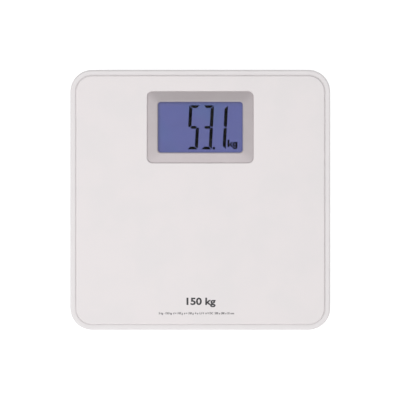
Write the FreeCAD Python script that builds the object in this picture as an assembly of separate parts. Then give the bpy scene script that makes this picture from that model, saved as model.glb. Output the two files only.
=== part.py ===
"""Digital bathroom scale: a square plastic case on four load-cell feet, with a large backlit display.

Millimetres. +Z is up and +Y points to the display's edge. The origin is on the floor, under the centre
of the square. Each function below makes one sub-part, or one of four alike, at its place in the scale.
"""

import FreeCAD, Part
import math
import os

Vector = FreeCAD.Vector

# ------------------------------------------------------------------ driving dimensions
SIDE = 280.0  # the case is a square in plan
CORNER_R = 23.5
PLATE_TOP = 35.0  # standing surface above the floor
PLATE_PROUD = 1.0  # the plate stands proud of the rim
CASE_BOTTOM = 7.0  # underside of the case above the floor
RIM_WIDTH = 5.3
GROOVE = 1.2  # between the rim and the plate
WALL = 2.4
PLATE_THICKNESS = 2.0
DECK_THICKNESS = 2.0
DISPLAY_Y = 78.3  # centre of the display
WINDOW_X = 91.3
WINDOW_Y = 54.6
BEZEL_X = 113.8
BEZEL_Y = 76.6
FOOT_OFFSET = 105.0  # feet from the centre, along X and along Y
FOOT_TRAVEL = 0.5

# clearances
TINY = 1e-3
SLIP = 0.15  # between shells that slide into each other
SCREW_GAP = 0.05

# ------------------------------------------------------------------ heights and plan sizes that follow
RIM_TOP = PLATE_TOP - PLATE_PROUD
RECESS_FLOOR = PLATE_TOP - PLATE_THICKNESS
DECK_UNDERSIDE = RECESS_FLOOR - DECK_THICKNESS
FLOOR_TOP = CASE_BOTTOM + WALL
SEAM_LOW = 12.6
SEAM_HIGH = 13.0
LIP_TOP = 15.2
LIP_WALL = 1.6
RIM_EDGE_R = 2.0
KEEL_EDGE_R = 5.0
PLATE_SIDE = SIDE - 2 * (RIM_WIDTH + GROOVE)
PLATE_EDGE_R = 0.9
INNER_SIDE = SIDE - 2 * WALL
DISPLAY = (0.0, DISPLAY_Y)

# ribs under the deck
RIB_PITCH = 25.0
RIB_COUNT = 10
RIB_THICKNESS = 1.8
RIB_BOTTOM = 21.0

# load cells and feet
CELL_SIDE = 34.0
CELL_THICKNESS = 2.4
CELL_LOW = 14.0
CELL_TOP = CELL_LOW + CELL_THICKNESS
CELL_OPENING = 25.0
TONGUE_WIDTH = 12.0
TONGUE_END = 8.5
NECK_WIDTH = 7.0
NECK_START = 6.0
TOWER_WALL = 3.5
NOTCH_WIDTH = 7.0
RETAINER_LOW = 11.6
RETAINER_OPENING = 24.0
RETAINER_REACH = 26.0
RETAINER_SCREW_Y = 21.5
SMALL_SCREW_R = 1.25
SMALL_HEAD_R = 2.6
SMALL_HEAD = 1.6
SMALL_BOSS_R = 3.5
GAUGE_LENGTH = 6.4
GAUGE_HEIGHT = 3.6
FOOT_HOLE_R = 13.5
FOOT_R = 22.0
FOOT_CUP_LOW = 1.2
FOOT_CUP_TOP = CASE_BOTTOM - FOOT_TRAVEL - 0.1
FOOT_EDGE_R = 1.2
FOOT_PAD_R = 19.0
FOOT_PAD_TOP = 2.8
STEM_R = 7.0
STEM_TOP = 12.0
THRUST_PAD_R = 6.0
CLAW_IN_R = 11.0
CLAW_OUT_R = 12.8
CLAW_LIP_R = 14.8
CLAW_WIDTH = 7.0
CLAW_LIP_LOW = FLOOR_TOP + 0.1
CLAW_TOP = 10.9
CLAW_COUNT = 3

# case screws
CASE_SCREWS = [(0.0, -124.0), (0.0, 127.0), (-124.0, 0.0), (124.0, 0.0)]
CASE_SCREWS += [(-50.0, -52.0), (50.0, -52.0), (-50.0, 22.0), (50.0, 22.0)]
CASE_SCREW_R = 1.45
CASE_HEAD_R = 3.0
CASE_HEAD = 2.0
CASE_SCREW_TOP = 24.0
CASE_BOSS_R = 4.0
CASE_BOSS_LOW = 13.6
COUNTERBORE_R = 3.6
COUNTERBORE_TOP = 11.0
CASE_TUBE_R = 5.5
CROSS_WIDTH = 0.7
CROSS_DEPTH = 0.9

# battery bay and its door; Y below is measured from the bay's centre
BAY = (0.0, -12.0)
BAY_X = 57.0
BAY_Y = 61.0
BAY_ROOF = 25.6
BAY_WALL = 2.0
SURROUND_X = 70.0
SURROUND_LOW_Y = -38.5
SURROUND_HIGH_Y = 36.0
SURROUND_TOP = 12.0
DOOR_X = 61.0
DOOR_END_Y = -33.5
DOOR_THICKNESS = 2.0
DOOR_GAP = 0.3
HINGE_Y = 31.9
HINGE_Z = 8.6
HINGE_R = HINGE_Z - CASE_BOTTOM
HINGE_PIN_R = 1.0
HINGE_PIN_LENGTH = 1.8
HINGE_CLEARANCE = 0.08
LATCH_HALF = 5.0
LATCH_SLOT = 0.8
LATCH_POCKET_HALF = 6.5
LATCH_POCKET_END = -36.7
LATCH_LEDGE_END = -33.6
LATCH_LEDGE_LOW = 8.5
LATCH_LEDGE_TOP = 10.2
FOAM_THICKNESS = 1.6

# AA cells and their contacts
CELL_R = 7.25
CELL_LENGTH = 49.5
CELL_NUB_R = 2.75
CELL_NUB = 1.0
CELL_PITCH = 15.0
CELL_Z = BAY_ROOF - 0.3 - CELL_R
CONTACT_THICKNESS = 0.5
CONTACT_HALF = 4.6
SPRING_WIRE_R = 0.35
SPRING_TURNS = 4
SPRING_TURN_POINTS = 12
SPRING_R_SMALL = 2.0
SPRING_R_LARGE = 4.0
LEAD_R = 0.6
LEAD_HOLE_R = 0.9

# display stack, from the bezel down
BEZEL_TOP = 34.6
BEZEL_EDGE_Z = 33.9  # outer edge of the bezel's sloping face
BEZEL_BROW = 1.4  # flat band round the opening
BEZEL_R = 5.6
BEZEL_EDGE_R = 0.3
APERTURE_EDGE_R = 0.5
BEZEL_BEVEL = 0.8
BEZEL_SEAM = 0.5
WINDOW_R = 3.3
COLLAR_X = 101.0
COLLAR_Y = 64.4
COLLAR_R = 5.0
COLLAR_LOW = 31.2
WINDOW_LEDGE = 2.0  # the pane is wider than the opening by this on each side
WINDOW_TOP = 33.1
WINDOW_THICKNESS = 1.5
POLARIZER = 0.2
LCD_X = 98.0
LCD_FRONT_Y = 66.0
LCD_REAR_Y = 58.4
LCD_GLASS = 1.0
LCD_CELL = 0.1
GUIDE_X = 95.2
GUIDE_Y = 57.6
GUIDE_THICKNESS = 3.0
REFLECTOR = 0.3
HOLDER_X = 104.0
HOLDER_Y = 72.0
ZEBRA_Y = 31.7
ZEBRA_X = 94.0
ZEBRA_WIDTH = 2.0
LED_BOARD = 1.0
LED_THICKNESS = 0.5
LED_COUNT = 4
LED_PITCH = 12.0

POLARIZER_LOW = COLLAR_LOW - POLARIZER
FRONT_GLASS_LOW = POLARIZER_LOW - LCD_GLASS
LCD_CELL_LOW = FRONT_GLASS_LOW - LCD_CELL
REAR_GLASS_LOW = LCD_CELL_LOW - LCD_GLASS
REAR_POLARIZER_LOW = REAR_GLASS_LOW - POLARIZER
GUIDE_LOW = REAR_POLARIZER_LOW - GUIDE_THICKNESS
REFLECTOR_LOW = GUIDE_LOW - REFLECTOR

# main board
BOARD_X = 120.0
BOARD_Y = 80.0
BOARD_LOW = 22.0
BOARD_TOP = 23.6
BOARD_SCREW_X = 55.5
BOARD_SCREW_Y = 36.0
BOARD_BOSS_R = 3.0
CONNECTOR_LOW = 16.2
CONNECTOR_X = 50.0
CONNECTOR_ROWS = {1: DISPLAY_Y + 21.7, -1: DISPLAY_Y - 27.3}  # by the side of the scale's middle on Y
BATTERY_PLUG = (-36.5, DISPLAY_Y - 31.3)

# unit button, under the board
BUTTON = (30.0, 52.0)
BUTTON_R = 3.2
BUTTON_HOLE_R = 3.5
BUTTON_LOW = 7.3
BUTTON_FLANGE_R = 4.5
BUTTON_FLANGE_LOW = FLOOR_TOP + 0.1
BUTTON_FLANGE_TOP = 10.6
BUTTON_STEM_R = 2.0
BUTTON_GUIDE_R = 4.9
BUTTON_GUIDE_WALL = 1.4
BUTTON_GUIDE_TOP = 13.5
BUTTON_TRAVEL = 0.5
SWITCH_LOW = 18.5
SWITCH_SIDE = 6.0
PLUNGER_R = 1.7
PLUNGER_LOW = 17.2

# display figures
DIGIT_PITCH = 15.0
DIGIT_HEIGHT = 47.6
DIGIT_WIDTH = 11.8
STROKE_X = 3.5
STROKE_Y = 3.0
SEGMENT_GAP = 0.6
LEAN = math.tan(math.radians(3.0))
FIRST_DIGIT_X = -7.2
READING = "531"
SEGMENTS_OF = {"5": "afgcd", "3": "abgcd", "1": "bc"}
POINT_X = 14.6
POINT_SIDE = 2.6
UNIT_X = 29.4
UNIT_BASE = -21.2
UNIT_STROKE = 2.1

# wires
WIRE_R = 0.5
WIRE_LEVELS = [17.0, 18.15, 19.3]
WIRE_BEND = 6.0


# ------------------------------------------------------------------ shape helpers
def block(size_x, size_y, z_low, z_high, at=(0.0, 0.0), radius=0.0):
    """Upright block centred on `at`, its plan corners rounded where a radius is given."""
    corner = Vector(at[0] - size_x / 2, at[1] - size_y / 2, z_low)
    solid = Part.makeBox(size_x, size_y, z_high - z_low, corner)
    if radius:
        upright = [edge for edge in solid.Edges if edge.BoundBox.ZLength > z_high - z_low - TINY]
        solid = solid.makeFillet(radius, upright)
    return solid


def span(x_range, y_range, z_range):
    """Block between two limits on each axis."""
    size = [high - low for low, high in (x_range, y_range, z_range)]
    return Part.makeBox(*size, Vector(x_range[0], y_range[0], z_range[0]))


def disc(radius, z_low, z_high, at=(0.0, 0.0)):
    """Upright cylinder."""
    return Part.makeCylinder(radius, z_high - z_low, Vector(at[0], at[1], z_low))


def ring(outer, inner, z_low, z_high, at=(0.0, 0.0)):
    """Upright tube."""
    return disc(outer, z_low, z_high, at).cut(disc(inner, z_low, z_high, at))


def rod(radius, start, end):
    """Cylinder between two points."""
    along = end - start
    return Part.makeCylinder(radius, along.Length, start, along)


def flat_edges(solid, z, half_x=SIDE, half_y=SIDE, at=(0.0, 0.0)):
    """Edges that lie flat at height z, within a plan box about `at`."""
    found = []
    for edge in solid.Edges:
        box = edge.BoundBox
        level = max(abs(box.ZMin - z), abs(box.ZMax - z)) < TINY
        inside_x = max(abs(box.XMin - at[0]), abs(box.XMax - at[0])) < half_x + TINY
        inside_y = max(abs(box.YMin - at[1]), abs(box.YMax - at[1])) < half_y + TINY
        if level and inside_x and inside_y:
            found.append(edge)
    return found


def prism(points, z_low, z_high):
    """Straight-edged plan outline, raised between two heights."""
    corners = [Vector(x, y, z_low) for x, y in points]
    face = Part.Face(Part.makePolygon(corners + corners[:1]))
    return face.extrude(Vector(0, 0, z_high - z_low))


def wire_tube(points, radius, bend):
    """Wire of round section along straight runs joined by tangent arcs."""
    edges = []
    start = points[0]
    for corner, after in zip(points[1:-1], points[2:]):
        back = (start - corner).normalize()
        onward = (after - corner).normalize()
        half = back.getAngle(onward) / 2
        cut = bend / math.tan(half)
        centre = corner + (back + onward).normalize() * (bend / math.sin(half))
        first = corner + back * cut
        last = corner + onward * cut
        middle = centre + (corner - centre).normalize() * bend
        edges.append(Part.LineSegment(start, first).toShape())
        edges.append(Part.Arc(first, middle, last).toShape())
        start = last
    edges.append(Part.LineSegment(start, points[-1]).toShape())
    path = Part.Wire(edges)
    circle = Part.Circle(points[0], points[1] - points[0], radius)
    return path.makePipeShell([Part.Wire(circle.toShape())], True, False)


def screw(at, head_low, head_radius, head, shank_radius, tip_z):
    """Cross-head screw driven upwards: the head is below, the tip above."""
    body = disc(head_radius, head_low, head_low + head, at)
    body = body.fuse(disc(shank_radius, head_low + head, tip_z, at))
    for size_x, size_y in ((head_radius, CROSS_WIDTH), (CROSS_WIDTH, head_radius)):
        body = body.cut(block(size_x, size_y, head_low, head_low + CROSS_DEPTH, at))
    return body


def corners():
    """The four feet: number, centre, and the side of the centre line on X and on Y."""
    signs = [(1, 1), (-1, 1), (-1, -1), (1, -1)]
    return [(i + 1, (sx * FOOT_OFFSET, sy * FOOT_OFFSET), sx, sy) for i, (sx, sy) in enumerate(signs)]


def bay_span(x_range, y_range, z_range):
    """Block placed in the battery bay, with Y counted from the bay's centre."""
    return span(x_range, (BAY[1] + y_range[0], BAY[1] + y_range[1]), z_range)


def union(solids):
    """One solid out of several that touch or overlap."""
    return solids[0].multiFuse(solids[1:]).removeSplitter()


# ------------------------------------------------------------------ case
def platform_plate():
    """White plate that one stands on, with the aperture for the display bezel."""
    plate_radius = CORNER_R - RIM_WIDTH - GROOVE
    plate = block(PLATE_SIDE, PLATE_SIDE, RECESS_FLOOR, PLATE_TOP, radius=plate_radius)
    plate = plate.makeFillet(PLATE_EDGE_R, flat_edges(plate, PLATE_TOP))
    size_x = BEZEL_X + 2 * BEZEL_SEAM
    size_y = BEZEL_Y + 2 * BEZEL_SEAM
    aperture = block(size_x, size_y, RECESS_FLOOR, PLATE_TOP, DISPLAY, BEZEL_R + BEZEL_SEAM)
    plate = plate.cut(aperture)
    lip = flat_edges(plate, PLATE_TOP, size_x / 2, size_y / 2, DISPLAY)
    return plate.makeFillet(APERTURE_EDGE_R, lip)


def deck_ribs():
    """Grid of ribs under the deck, clear of the display, the main board and the battery bay."""
    ribs = []
    half = INNER_SIDE / 2
    for i in range(RIB_COUNT):
        line = (i - (RIB_COUNT - 1) / 2) * RIB_PITCH
        across = (line - RIB_THICKNESS / 2, line + RIB_THICKNESS / 2)
        ribs.append(span(across, (-half, half), (RIB_BOTTOM, DECK_UNDERSIDE)))
        ribs.append(span((-half, half), across, (RIB_BOTTOM, DECK_UNDERSIDE)))
    grid = union(ribs)
    grid = grid.common(block(INNER_SIDE, INNER_SIDE, RIB_BOTTOM, DECK_UNDERSIDE, radius=CORNER_R - WALL))
    room = 1.0
    grid = grid.cut(block(BOARD_X + 2 * room, BOARD_Y + 2 * room, RIB_BOTTOM, DECK_UNDERSIDE, DISPLAY))
    bay_x = BAY_X + 2 * (BAY_WALL + room)
    bay_y = BAY_Y + 2 * (BAY_WALL + room)
    return grid.cut(block(bay_x, bay_y, RIB_BOTTOM, BAY_ROOF + BAY_WALL + room / 2, BAY))


def cell_tower(centre, sx):
    """Square tower that presses on one load cell's frame, with two bosses for its retainer."""
    inner = CELL_SIDE - 2 * TOWER_WALL
    tower = block(CELL_SIDE, CELL_SIDE, CELL_TOP, DECK_UNDERSIDE, centre, radius=3.0)
    tower = tower.cut(block(inner, inner, CELL_TOP, DECK_UNDERSIDE, centre, radius=2.0))
    notch_at = (centre[0] - sx * CELL_SIDE / 2, centre[1])
    tower = tower.cut(block(4 * TOWER_WALL, NOTCH_WIDTH, CELL_TOP, RIB_BOTTOM, notch_at))
    bosses = []
    for side in (-1, 1):
        at = (centre[0], centre[1] + side * RETAINER_SCREW_Y)
        bosses.append(disc(SMALL_BOSS_R, CELL_LOW, DECK_UNDERSIDE, at))
    return [tower] + bosses


def top_shell():
    """Upper case shell: rim, side walls, recessed deck under the plate, ribs, towers and bosses."""
    shell = block(SIDE, SIDE, SEAM_HIGH, RIM_TOP, radius=CORNER_R)
    shell = shell.makeFillet(RIM_EDGE_R, flat_edges(shell, RIM_TOP))
    shell = shell.cut(block(INNER_SIDE, INNER_SIDE, SEAM_HIGH, DECK_UNDERSIDE, radius=CORNER_R - WALL))
    recess = SIDE - 2 * RIM_WIDTH
    shell = shell.cut(block(recess, recess, RECESS_FLOOR, RIM_TOP, radius=CORNER_R - RIM_WIDTH))
    pieces = [shell, deck_ribs()]
    for _, centre, sx, _ in corners():
        pieces += cell_tower(centre, sx)
    pieces += [disc(CASE_BOSS_R, CASE_BOSS_LOW, DECK_UNDERSIDE, at) for at in CASE_SCREWS]
    pieces += [disc(BOARD_BOSS_R, BOARD_TOP, DECK_UNDERSIDE, at) for at in board_screw_places()]
    shell = union(pieces)
    holes = [block(COLLAR_X + 2 * SLIP, COLLAR_Y + 2 * SLIP, DECK_UNDERSIDE, RECESS_FLOOR, DISPLAY, COLLAR_R)]
    holes += [disc(CASE_SCREW_R + SCREW_GAP, CASE_BOSS_LOW, CASE_SCREW_TOP + 1, at) for at in CASE_SCREWS]
    for at in board_screw_places():
        holes.append(disc(SMALL_SCREW_R + SCREW_GAP, BOARD_TOP, DECK_UNDERSIDE - 1, at))
    for at in retainer_screw_places():
        holes.append(disc(SMALL_SCREW_R + SCREW_GAP, CELL_LOW, CASE_SCREW_TOP, at))
    return shell.cut(holes)


def latch_pocket():
    """Space for the door's latch: a finger recess, the shaft, and the room behind the ledge."""
    across = (-LATCH_POCKET_HALF, LATCH_POCKET_HALF)
    finger = bay_span(across, (LATCH_POCKET_END, -BAY_Y / 2), (CASE_BOTTOM, LATCH_LEDGE_LOW))
    shaft = bay_span(across, (LATCH_LEDGE_END, -BAY_Y / 2), (CASE_BOTTOM, SURROUND_TOP + 2))
    behind = bay_span(across, (LATCH_POCKET_END, -BAY_Y / 2), (LATCH_LEDGE_TOP, SURROUND_TOP + 2))
    return [finger, shaft, behind]


def bay_solids():
    """Walls and roof of the battery bay, and the thick surround of its mouth."""
    walls = block(BAY_X + 2 * BAY_WALL, BAY_Y + 2 * BAY_WALL, CASE_BOTTOM, BAY_ROOF + BAY_WALL, BAY)
    half = SURROUND_X / 2
    surround = bay_span((-half, half), (SURROUND_LOW_Y, SURROUND_HIGH_Y), (CASE_BOTTOM, SURROUND_TOP))
    return [walls, surround]


def bay_hollows():
    """What is cut for the cells, the door's rebate, its hinge, its latch and the two leads."""
    half = DOOR_X / 2 + DOOR_GAP
    rebate_top = CASE_BOTTOM + DOOR_THICKNESS + DOOR_GAP
    hinge_reach = HINGE_R + DOOR_GAP
    cuts = [block(BAY_X, BAY_Y, CASE_BOTTOM, BAY_ROOF, BAY)]
    rebate = (DOOR_END_Y - DOOR_GAP, HINGE_Y + hinge_reach)
    cuts.append(bay_span((-half, half), rebate, (CASE_BOTTOM, rebate_top)))
    groove = (HINGE_Y - hinge_reach, HINGE_Y + hinge_reach)
    cuts.append(bay_span((-half, half), groove, (CASE_BOTTOM, HINGE_Z + hinge_reach)))
    socket = HINGE_PIN_LENGTH + DOOR_GAP
    hinge = BAY[1] + HINGE_Y
    for side in (-1, 1):
        start = Vector(side * half, hinge, HINGE_Z)
        end = Vector(side * (half + socket), hinge, HINGE_Z)
        cuts.append(rod(HINGE_PIN_R + HINGE_CLEARANCE, start, end))
    outer = -BAY_X / 2 - BAY_WALL
    for y in lead_rows():
        cuts.append(rod(LEAD_HOLE_R, Vector(outer, y, CELL_Z), Vector(outer + BAY_WALL, y, CELL_Z)))
    return cuts + latch_pocket()


def bottom_cover():
    """Lower case shell: floor, lip, foot holes, screw tubes, battery bay and button guide."""
    cover = block(SIDE, SIDE, CASE_BOTTOM, SEAM_LOW, radius=CORNER_R)
    cover = cover.makeFillet(KEEL_EDGE_R, flat_edges(cover, CASE_BOTTOM))
    cover = cover.cut(block(INNER_SIDE, INNER_SIDE, FLOOR_TOP, SEAM_LOW, radius=CORNER_R - WALL))
    lip_side = INNER_SIDE - 2 * SLIP
    lip_radius = CORNER_R - WALL - SLIP
    lip = block(lip_side, lip_side, FLOOR_TOP, LIP_TOP, radius=lip_radius)
    lip_inner = lip_side - 2 * LIP_WALL
    lip = lip.cut(block(lip_inner, lip_inner, FLOOR_TOP, LIP_TOP, radius=lip_radius - LIP_WALL))
    pieces = [cover, lip] + bay_solids()
    pieces += [disc(CASE_TUBE_R, CASE_BOTTOM, CASE_BOSS_LOW, at) for at in CASE_SCREWS]
    guide_r = BUTTON_GUIDE_R + BUTTON_GUIDE_WALL
    pieces.append(ring(guide_r, BUTTON_GUIDE_R, CASE_BOTTOM + 1, BUTTON_GUIDE_TOP, BUTTON))
    for _, centre, _, _ in corners():
        pieces.append(ring(FOOT_HOLE_R + 4, FOOT_HOLE_R + 2.5, FLOOR_TOP, CLAW_TOP, centre))
    cover = union(pieces)
    cuts = bay_hollows()
    for at in CASE_SCREWS:
        cuts.append(disc(COUNTERBORE_R, CASE_BOTTOM, COUNTERBORE_TOP, at))
        cuts.append(disc(CASE_SCREW_R + SLIP, CASE_BOTTOM, CASE_BOSS_LOW, at))
    cuts += [disc(FOOT_HOLE_R, CASE_BOTTOM, FLOOR_TOP, centre) for _, centre, _, _ in corners()]
    cuts.append(disc(BUTTON_HOLE_R, CASE_BOTTOM, FLOOR_TOP, BUTTON))
    return cover.cut(cuts)


def case_screws():
    """Eight screws through the bottom cover into the top shell."""
    low = COUNTERBORE_TOP - CASE_HEAD
    return [screw(at, low, CASE_HEAD_R, CASE_HEAD, CASE_SCREW_R, CASE_SCREW_TOP) for at in CASE_SCREWS]


def rating_plate():
    """Blank plate on the underside."""
    thickness = 0.3
    return block(70.0, 34.0, CASE_BOTTOM - thickness, CASE_BOTTOM, (0.0, -90.0), radius=2.0)


# ------------------------------------------------------------------ feet and load cells
def load_cell(centre, sx):
    """Steel plate with a tongue cut free on three sides. Its neck points to the scale's middle."""
    plate = block(CELL_SIDE, CELL_SIDE, CELL_LOW, CELL_TOP, radius=3.0)
    plate = plate.cut(block(CELL_OPENING, CELL_OPENING, CELL_LOW, CELL_TOP, radius=2.0))
    half = TONGUE_WIDTH / 2
    tongue = span((-TONGUE_END, NECK_START + 2), (-half, half), (CELL_LOW, CELL_TOP))
    neck_half = NECK_WIDTH / 2
    neck = span((NECK_START, CELL_OPENING / 2 + 1), (-neck_half, neck_half), (CELL_LOW, CELL_TOP))
    return to_corner(union([plate, tongue, neck]), centre, sx)


def to_corner(shape, centre, sx):
    """Turns a shape whose neck points along +X towards the middle, and moves it to its corner."""
    if sx > 0:
        shape.rotate(Vector(0, 0, 0), Vector(0, 0, 1), 180)
    shape.translate(Vector(centre[0], centre[1], 0))
    return shape


def strain_gauges():
    """Sealed strain gauges, one on each load cell's neck."""
    solids = []
    for _, centre, sx, _ in corners():
        sealant = block(GAUGE_LENGTH, NECK_WIDTH, CELL_TOP, CELL_TOP + GAUGE_HEIGHT)
        sealant = sealant.makeFillet(1.0, flat_edges(sealant, CELL_TOP + GAUGE_HEIGHT))
        sealant.translate(Vector(NECK_START + GAUGE_LENGTH / 2, 0, 0))
        solids.append(to_corner(sealant, centre, sx))
    return solids


def retainer_screw_places():
    """Plan places of the screws that hold the four retainers."""
    rows = (-RETAINER_SCREW_Y, RETAINER_SCREW_Y)
    return [(centre[0], centre[1] + y) for _, centre, _, _ in corners() for y in rows]


def cell_retainer(centre):
    """Plastic frame that holds one load cell up against its tower."""
    frame = block(CELL_SIDE, CELL_SIDE, RETAINER_LOW, CELL_LOW, centre, radius=3.0)
    ears = block(10.0, 2 * RETAINER_REACH, RETAINER_LOW, CELL_LOW, centre, radius=4.5)
    frame = union([frame, ears])
    cuts = [block(RETAINER_OPENING, RETAINER_OPENING, RETAINER_LOW, CELL_LOW, centre, radius=2.0)]
    for side in (-1, 1):
        at = (centre[0], centre[1] + side * RETAINER_SCREW_Y)
        cuts.append(disc(SMALL_SCREW_R + SLIP, RETAINER_LOW, CELL_LOW, at))
    return frame.cut(cuts)


def retainer_screws():
    """Eight small screws, two to a retainer."""
    low = RETAINER_LOW - SMALL_HEAD
    places = retainer_screw_places()
    return [screw(at, low, SMALL_HEAD_R, SMALL_HEAD, SMALL_SCREW_R, RIB_BOTTOM) for at in places]


def foot_cup(centre):
    """Foot: disc with a stem that carries the thrust pad, and claws that keep it in the cover's hole."""
    cup = disc(FOOT_R, FOOT_CUP_LOW, FOOT_CUP_TOP)
    rims = flat_edges(cup, FOOT_CUP_LOW) + flat_edges(cup, FOOT_CUP_TOP)
    cup = cup.makeFillet(FOOT_EDGE_R, rims)
    claw = span((CLAW_IN_R, CLAW_OUT_R), (-CLAW_WIDTH / 2, CLAW_WIDTH / 2), (FOOT_CUP_TOP - 1, CLAW_TOP))
    lip = span((CLAW_IN_R, CLAW_LIP_R), (-CLAW_WIDTH / 2, CLAW_WIDTH / 2), (CLAW_LIP_LOW, CLAW_TOP))
    claw = claw.fuse(lip)
    pieces = [cup, disc(STEM_R, FOOT_CUP_TOP - 1, STEM_TOP)]
    for i in range(CLAW_COUNT):
        turned = claw.copy()
        turned.rotate(Vector(0, 0, 0), Vector(0, 0, 1), i * 360 / CLAW_COUNT)
        pieces.append(turned)
    cup = union(pieces).cut(disc(FOOT_PAD_R + SLIP, FOOT_CUP_LOW, FOOT_PAD_TOP))
    cup.translate(Vector(centre[0], centre[1], 0))
    return cup


def foot_pad(centre):
    """Rubber pad that stands on the floor, with two shallow tread grooves."""
    pad = disc(FOOT_PAD_R, 0.0, FOOT_PAD_TOP, centre)
    groove_depth = 0.6
    for radius in (9.0, 14.0):
        pad = pad.cut(ring(radius + 1.2, radius, 0.0, groove_depth, centre))
    return pad


def thrust_pad(centre):
    """Elastic disc between the foot's stem and the load cell's tongue."""
    return disc(THRUST_PAD_R, STEM_TOP, CELL_LOW, centre)


def cell_wires(centre, sx, sy):
    """Three wires from one load cell to its connector under the main board."""
    gauge_end = centre[0] - sx * (NECK_START + GAUGE_LENGTH)
    plug = (sx * (CONNECTOR_X + 4), CONNECTOR_ROWS[sy])
    if sy > 0:
        plan = [(gauge_end, centre[1]), (sx * 78.0, centre[1]), (sx * 66.0, plug[1]), plug]
    else:
        lane = sx * 66.0
        plan = [(gauge_end, centre[1]), (lane, centre[1]), (lane, plug[1]), plug]
    return [wire_tube([Vector(x, y, z) for x, y in plan], WIRE_R, WIRE_BEND) for z in WIRE_LEVELS]


# ------------------------------------------------------------------ battery bay
def battery_cover():
    """Door of the battery bay: plate, hinge barrel with two pins, and a springy latch."""
    half = DOOR_X / 2
    top = CASE_BOTTOM + DOOR_THICKNESS
    plate = bay_span((-half, half), (DOOR_END_Y, HINGE_Y), (CASE_BOTTOM, top))
    hinge = BAY[1] + HINGE_Y
    barrel = rod(HINGE_R, Vector(-half, hinge, HINGE_Z), Vector(half, hinge, HINGE_Z))
    reach = half + HINGE_PIN_LENGTH
    pins = rod(HINGE_PIN_R, Vector(-reach, hinge, HINGE_Z), Vector(reach, hinge, HINGE_Z))
    across = (-LATCH_HALF, LATCH_HALF)
    leg = bay_span(across, (DOOR_END_Y + 0.2, DOOR_END_Y + 1.4), (CASE_BOTTOM, SURROUND_TOP))
    hook = bay_span(across, (DOOR_END_Y - 1.1, DOOR_END_Y + 0.4), (LATCH_LEDGE_TOP + 0.1, SURROUND_TOP - 0.6))
    tab = bay_span(across, (DOOR_END_Y - 2.6, DOOR_END_Y + 1.4), (CASE_BOTTOM, CASE_BOTTOM + 1.2))
    door = union([plate, barrel, pins, leg, hook, tab])
    cuts = []
    for side in (-1, 1):
        edge = side * (LATCH_HALF + LATCH_SLOT / 2)
        slot = (edge - LATCH_SLOT / 2, edge + LATCH_SLOT / 2)
        cuts.append(bay_span(slot, (DOOR_END_Y, DOOR_END_Y + 7), (CASE_BOTTOM, top)))
    for i in range(3):
        low = DOOR_END_Y - 1.6 + 1.5 * i
        cuts.append(bay_span((-3.5, 3.5), (low, low + 0.6), (CASE_BOTTOM, CASE_BOTTOM + 0.4)))
    return door.cut(cuts)


def door_foam():
    """Foam strip on the door that keeps the cells quiet."""
    low = CASE_BOTTOM + DOOR_THICKNESS
    return block(36.0, 50.0, low, low + FOAM_THICKNESS, BAY)


def battery_rows():
    """The four cells: row centre on Y, and the side that the nub is on."""
    return [(BAY[1] + (i - 1.5) * CELL_PITCH, 1 if i % 2 == 0 else -1) for i in range(4)]


def lead_rows():
    """Rows whose end contacts carry the two leads."""
    rows = battery_rows()
    return [rows[0][0], rows[-1][0]]


def battery(row, nub_side):
    """AA cell lying along X, its nub against the flat contact."""
    nub_face = BAY_X / 2 - CONTACT_THICKNESS
    body_end = nub_face - CELL_NUB
    body = rod(CELL_R, Vector(body_end - CELL_LENGTH, 0, 0), Vector(body_end, 0, 0))
    body = body.makeFillet(0.6, body.Edges[0:1] + body.Edges[2:3])
    nub = rod(CELL_NUB_R, Vector(body_end - 1, 0, 0), Vector(nub_face, 0, 0))
    cell = union([body, nub])
    if nub_side < 0:
        cell.rotate(Vector(0, 0, 0), Vector(0, 0, 1), 180)
    cell.translate(Vector(0, row, CELL_Z))
    return cell


def battery_contacts():
    """Sprung steel plates on the bay's end walls: two terminals and three bridges."""
    rows = [row for row, _ in battery_rows()]
    groups = {1: [rows[0:2], rows[2:4]], -1: [rows[0:1], rows[1:3], rows[3:4]]}
    plates = []
    for side, spans in groups.items():
        wall = side * BAY_X / 2
        x_range = sorted((wall, wall - side * CONTACT_THICKNESS))
        for members in spans:
            y_range = (members[0] - CONTACT_HALF, members[-1] + CONTACT_HALF)
            z_range = (CELL_Z - CONTACT_HALF, CELL_Z + CONTACT_HALF)
            plates.append(span(x_range, y_range, z_range))
    return plates


def spring_path(start_x, end_x, row):
    """Conical coil line along X, widest at start_x, its axis through a cell's middle."""
    points = []
    steps = SPRING_TURNS * SPRING_TURN_POINTS
    for i in range(steps + 1):
        share = i / steps
        radius = SPRING_R_LARGE + (SPRING_R_SMALL - SPRING_R_LARGE) * share
        turn = 2 * math.pi * i / SPRING_TURN_POINTS
        x = start_x + (end_x - start_x) * share
        points.append(Vector(x, row + radius * math.cos(turn), CELL_Z + radius * math.sin(turn)))
    curve = Part.BSplineCurve()
    curve.interpolate(points)
    return curve


def battery_springs():
    """Conical coil at the flat end of each cell, wide at the contact and narrow at the cell."""
    coils = []
    contact_face = BAY_X / 2 - CONTACT_THICKNESS
    cell_face = BAY_X / 2 - CONTACT_THICKNESS - CELL_NUB - CELL_LENGTH
    for row, nub_side in battery_rows():
        start_x = -nub_side * (contact_face - SPRING_WIRE_R)
        end_x = nub_side * (cell_face - SPRING_WIRE_R - SLIP)
        path = spring_path(start_x, end_x, row)
        wire = Part.Circle(path.StartPoint, path.tangent(path.FirstParameter)[0], SPRING_WIRE_R)
        coils.append(Part.Wire(path.toShape()).makePipeShell([Part.Wire(wire.toShape())], True, True))
    return coils


def battery_leads():
    """Two leads from the bay's end contacts to the board's battery connector."""
    leads = []
    start = -BAY_X / 2
    for row, lane in zip(lead_rows(), (-38.0, -35.0)):
        plan = [(start, row), (lane, row), (lane, BATTERY_PLUG[1] - 3)]
        leads.append(wire_tube([Vector(x, y, CELL_Z) for x, y in plan], LEAD_R, 2.5))
    return leads


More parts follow.
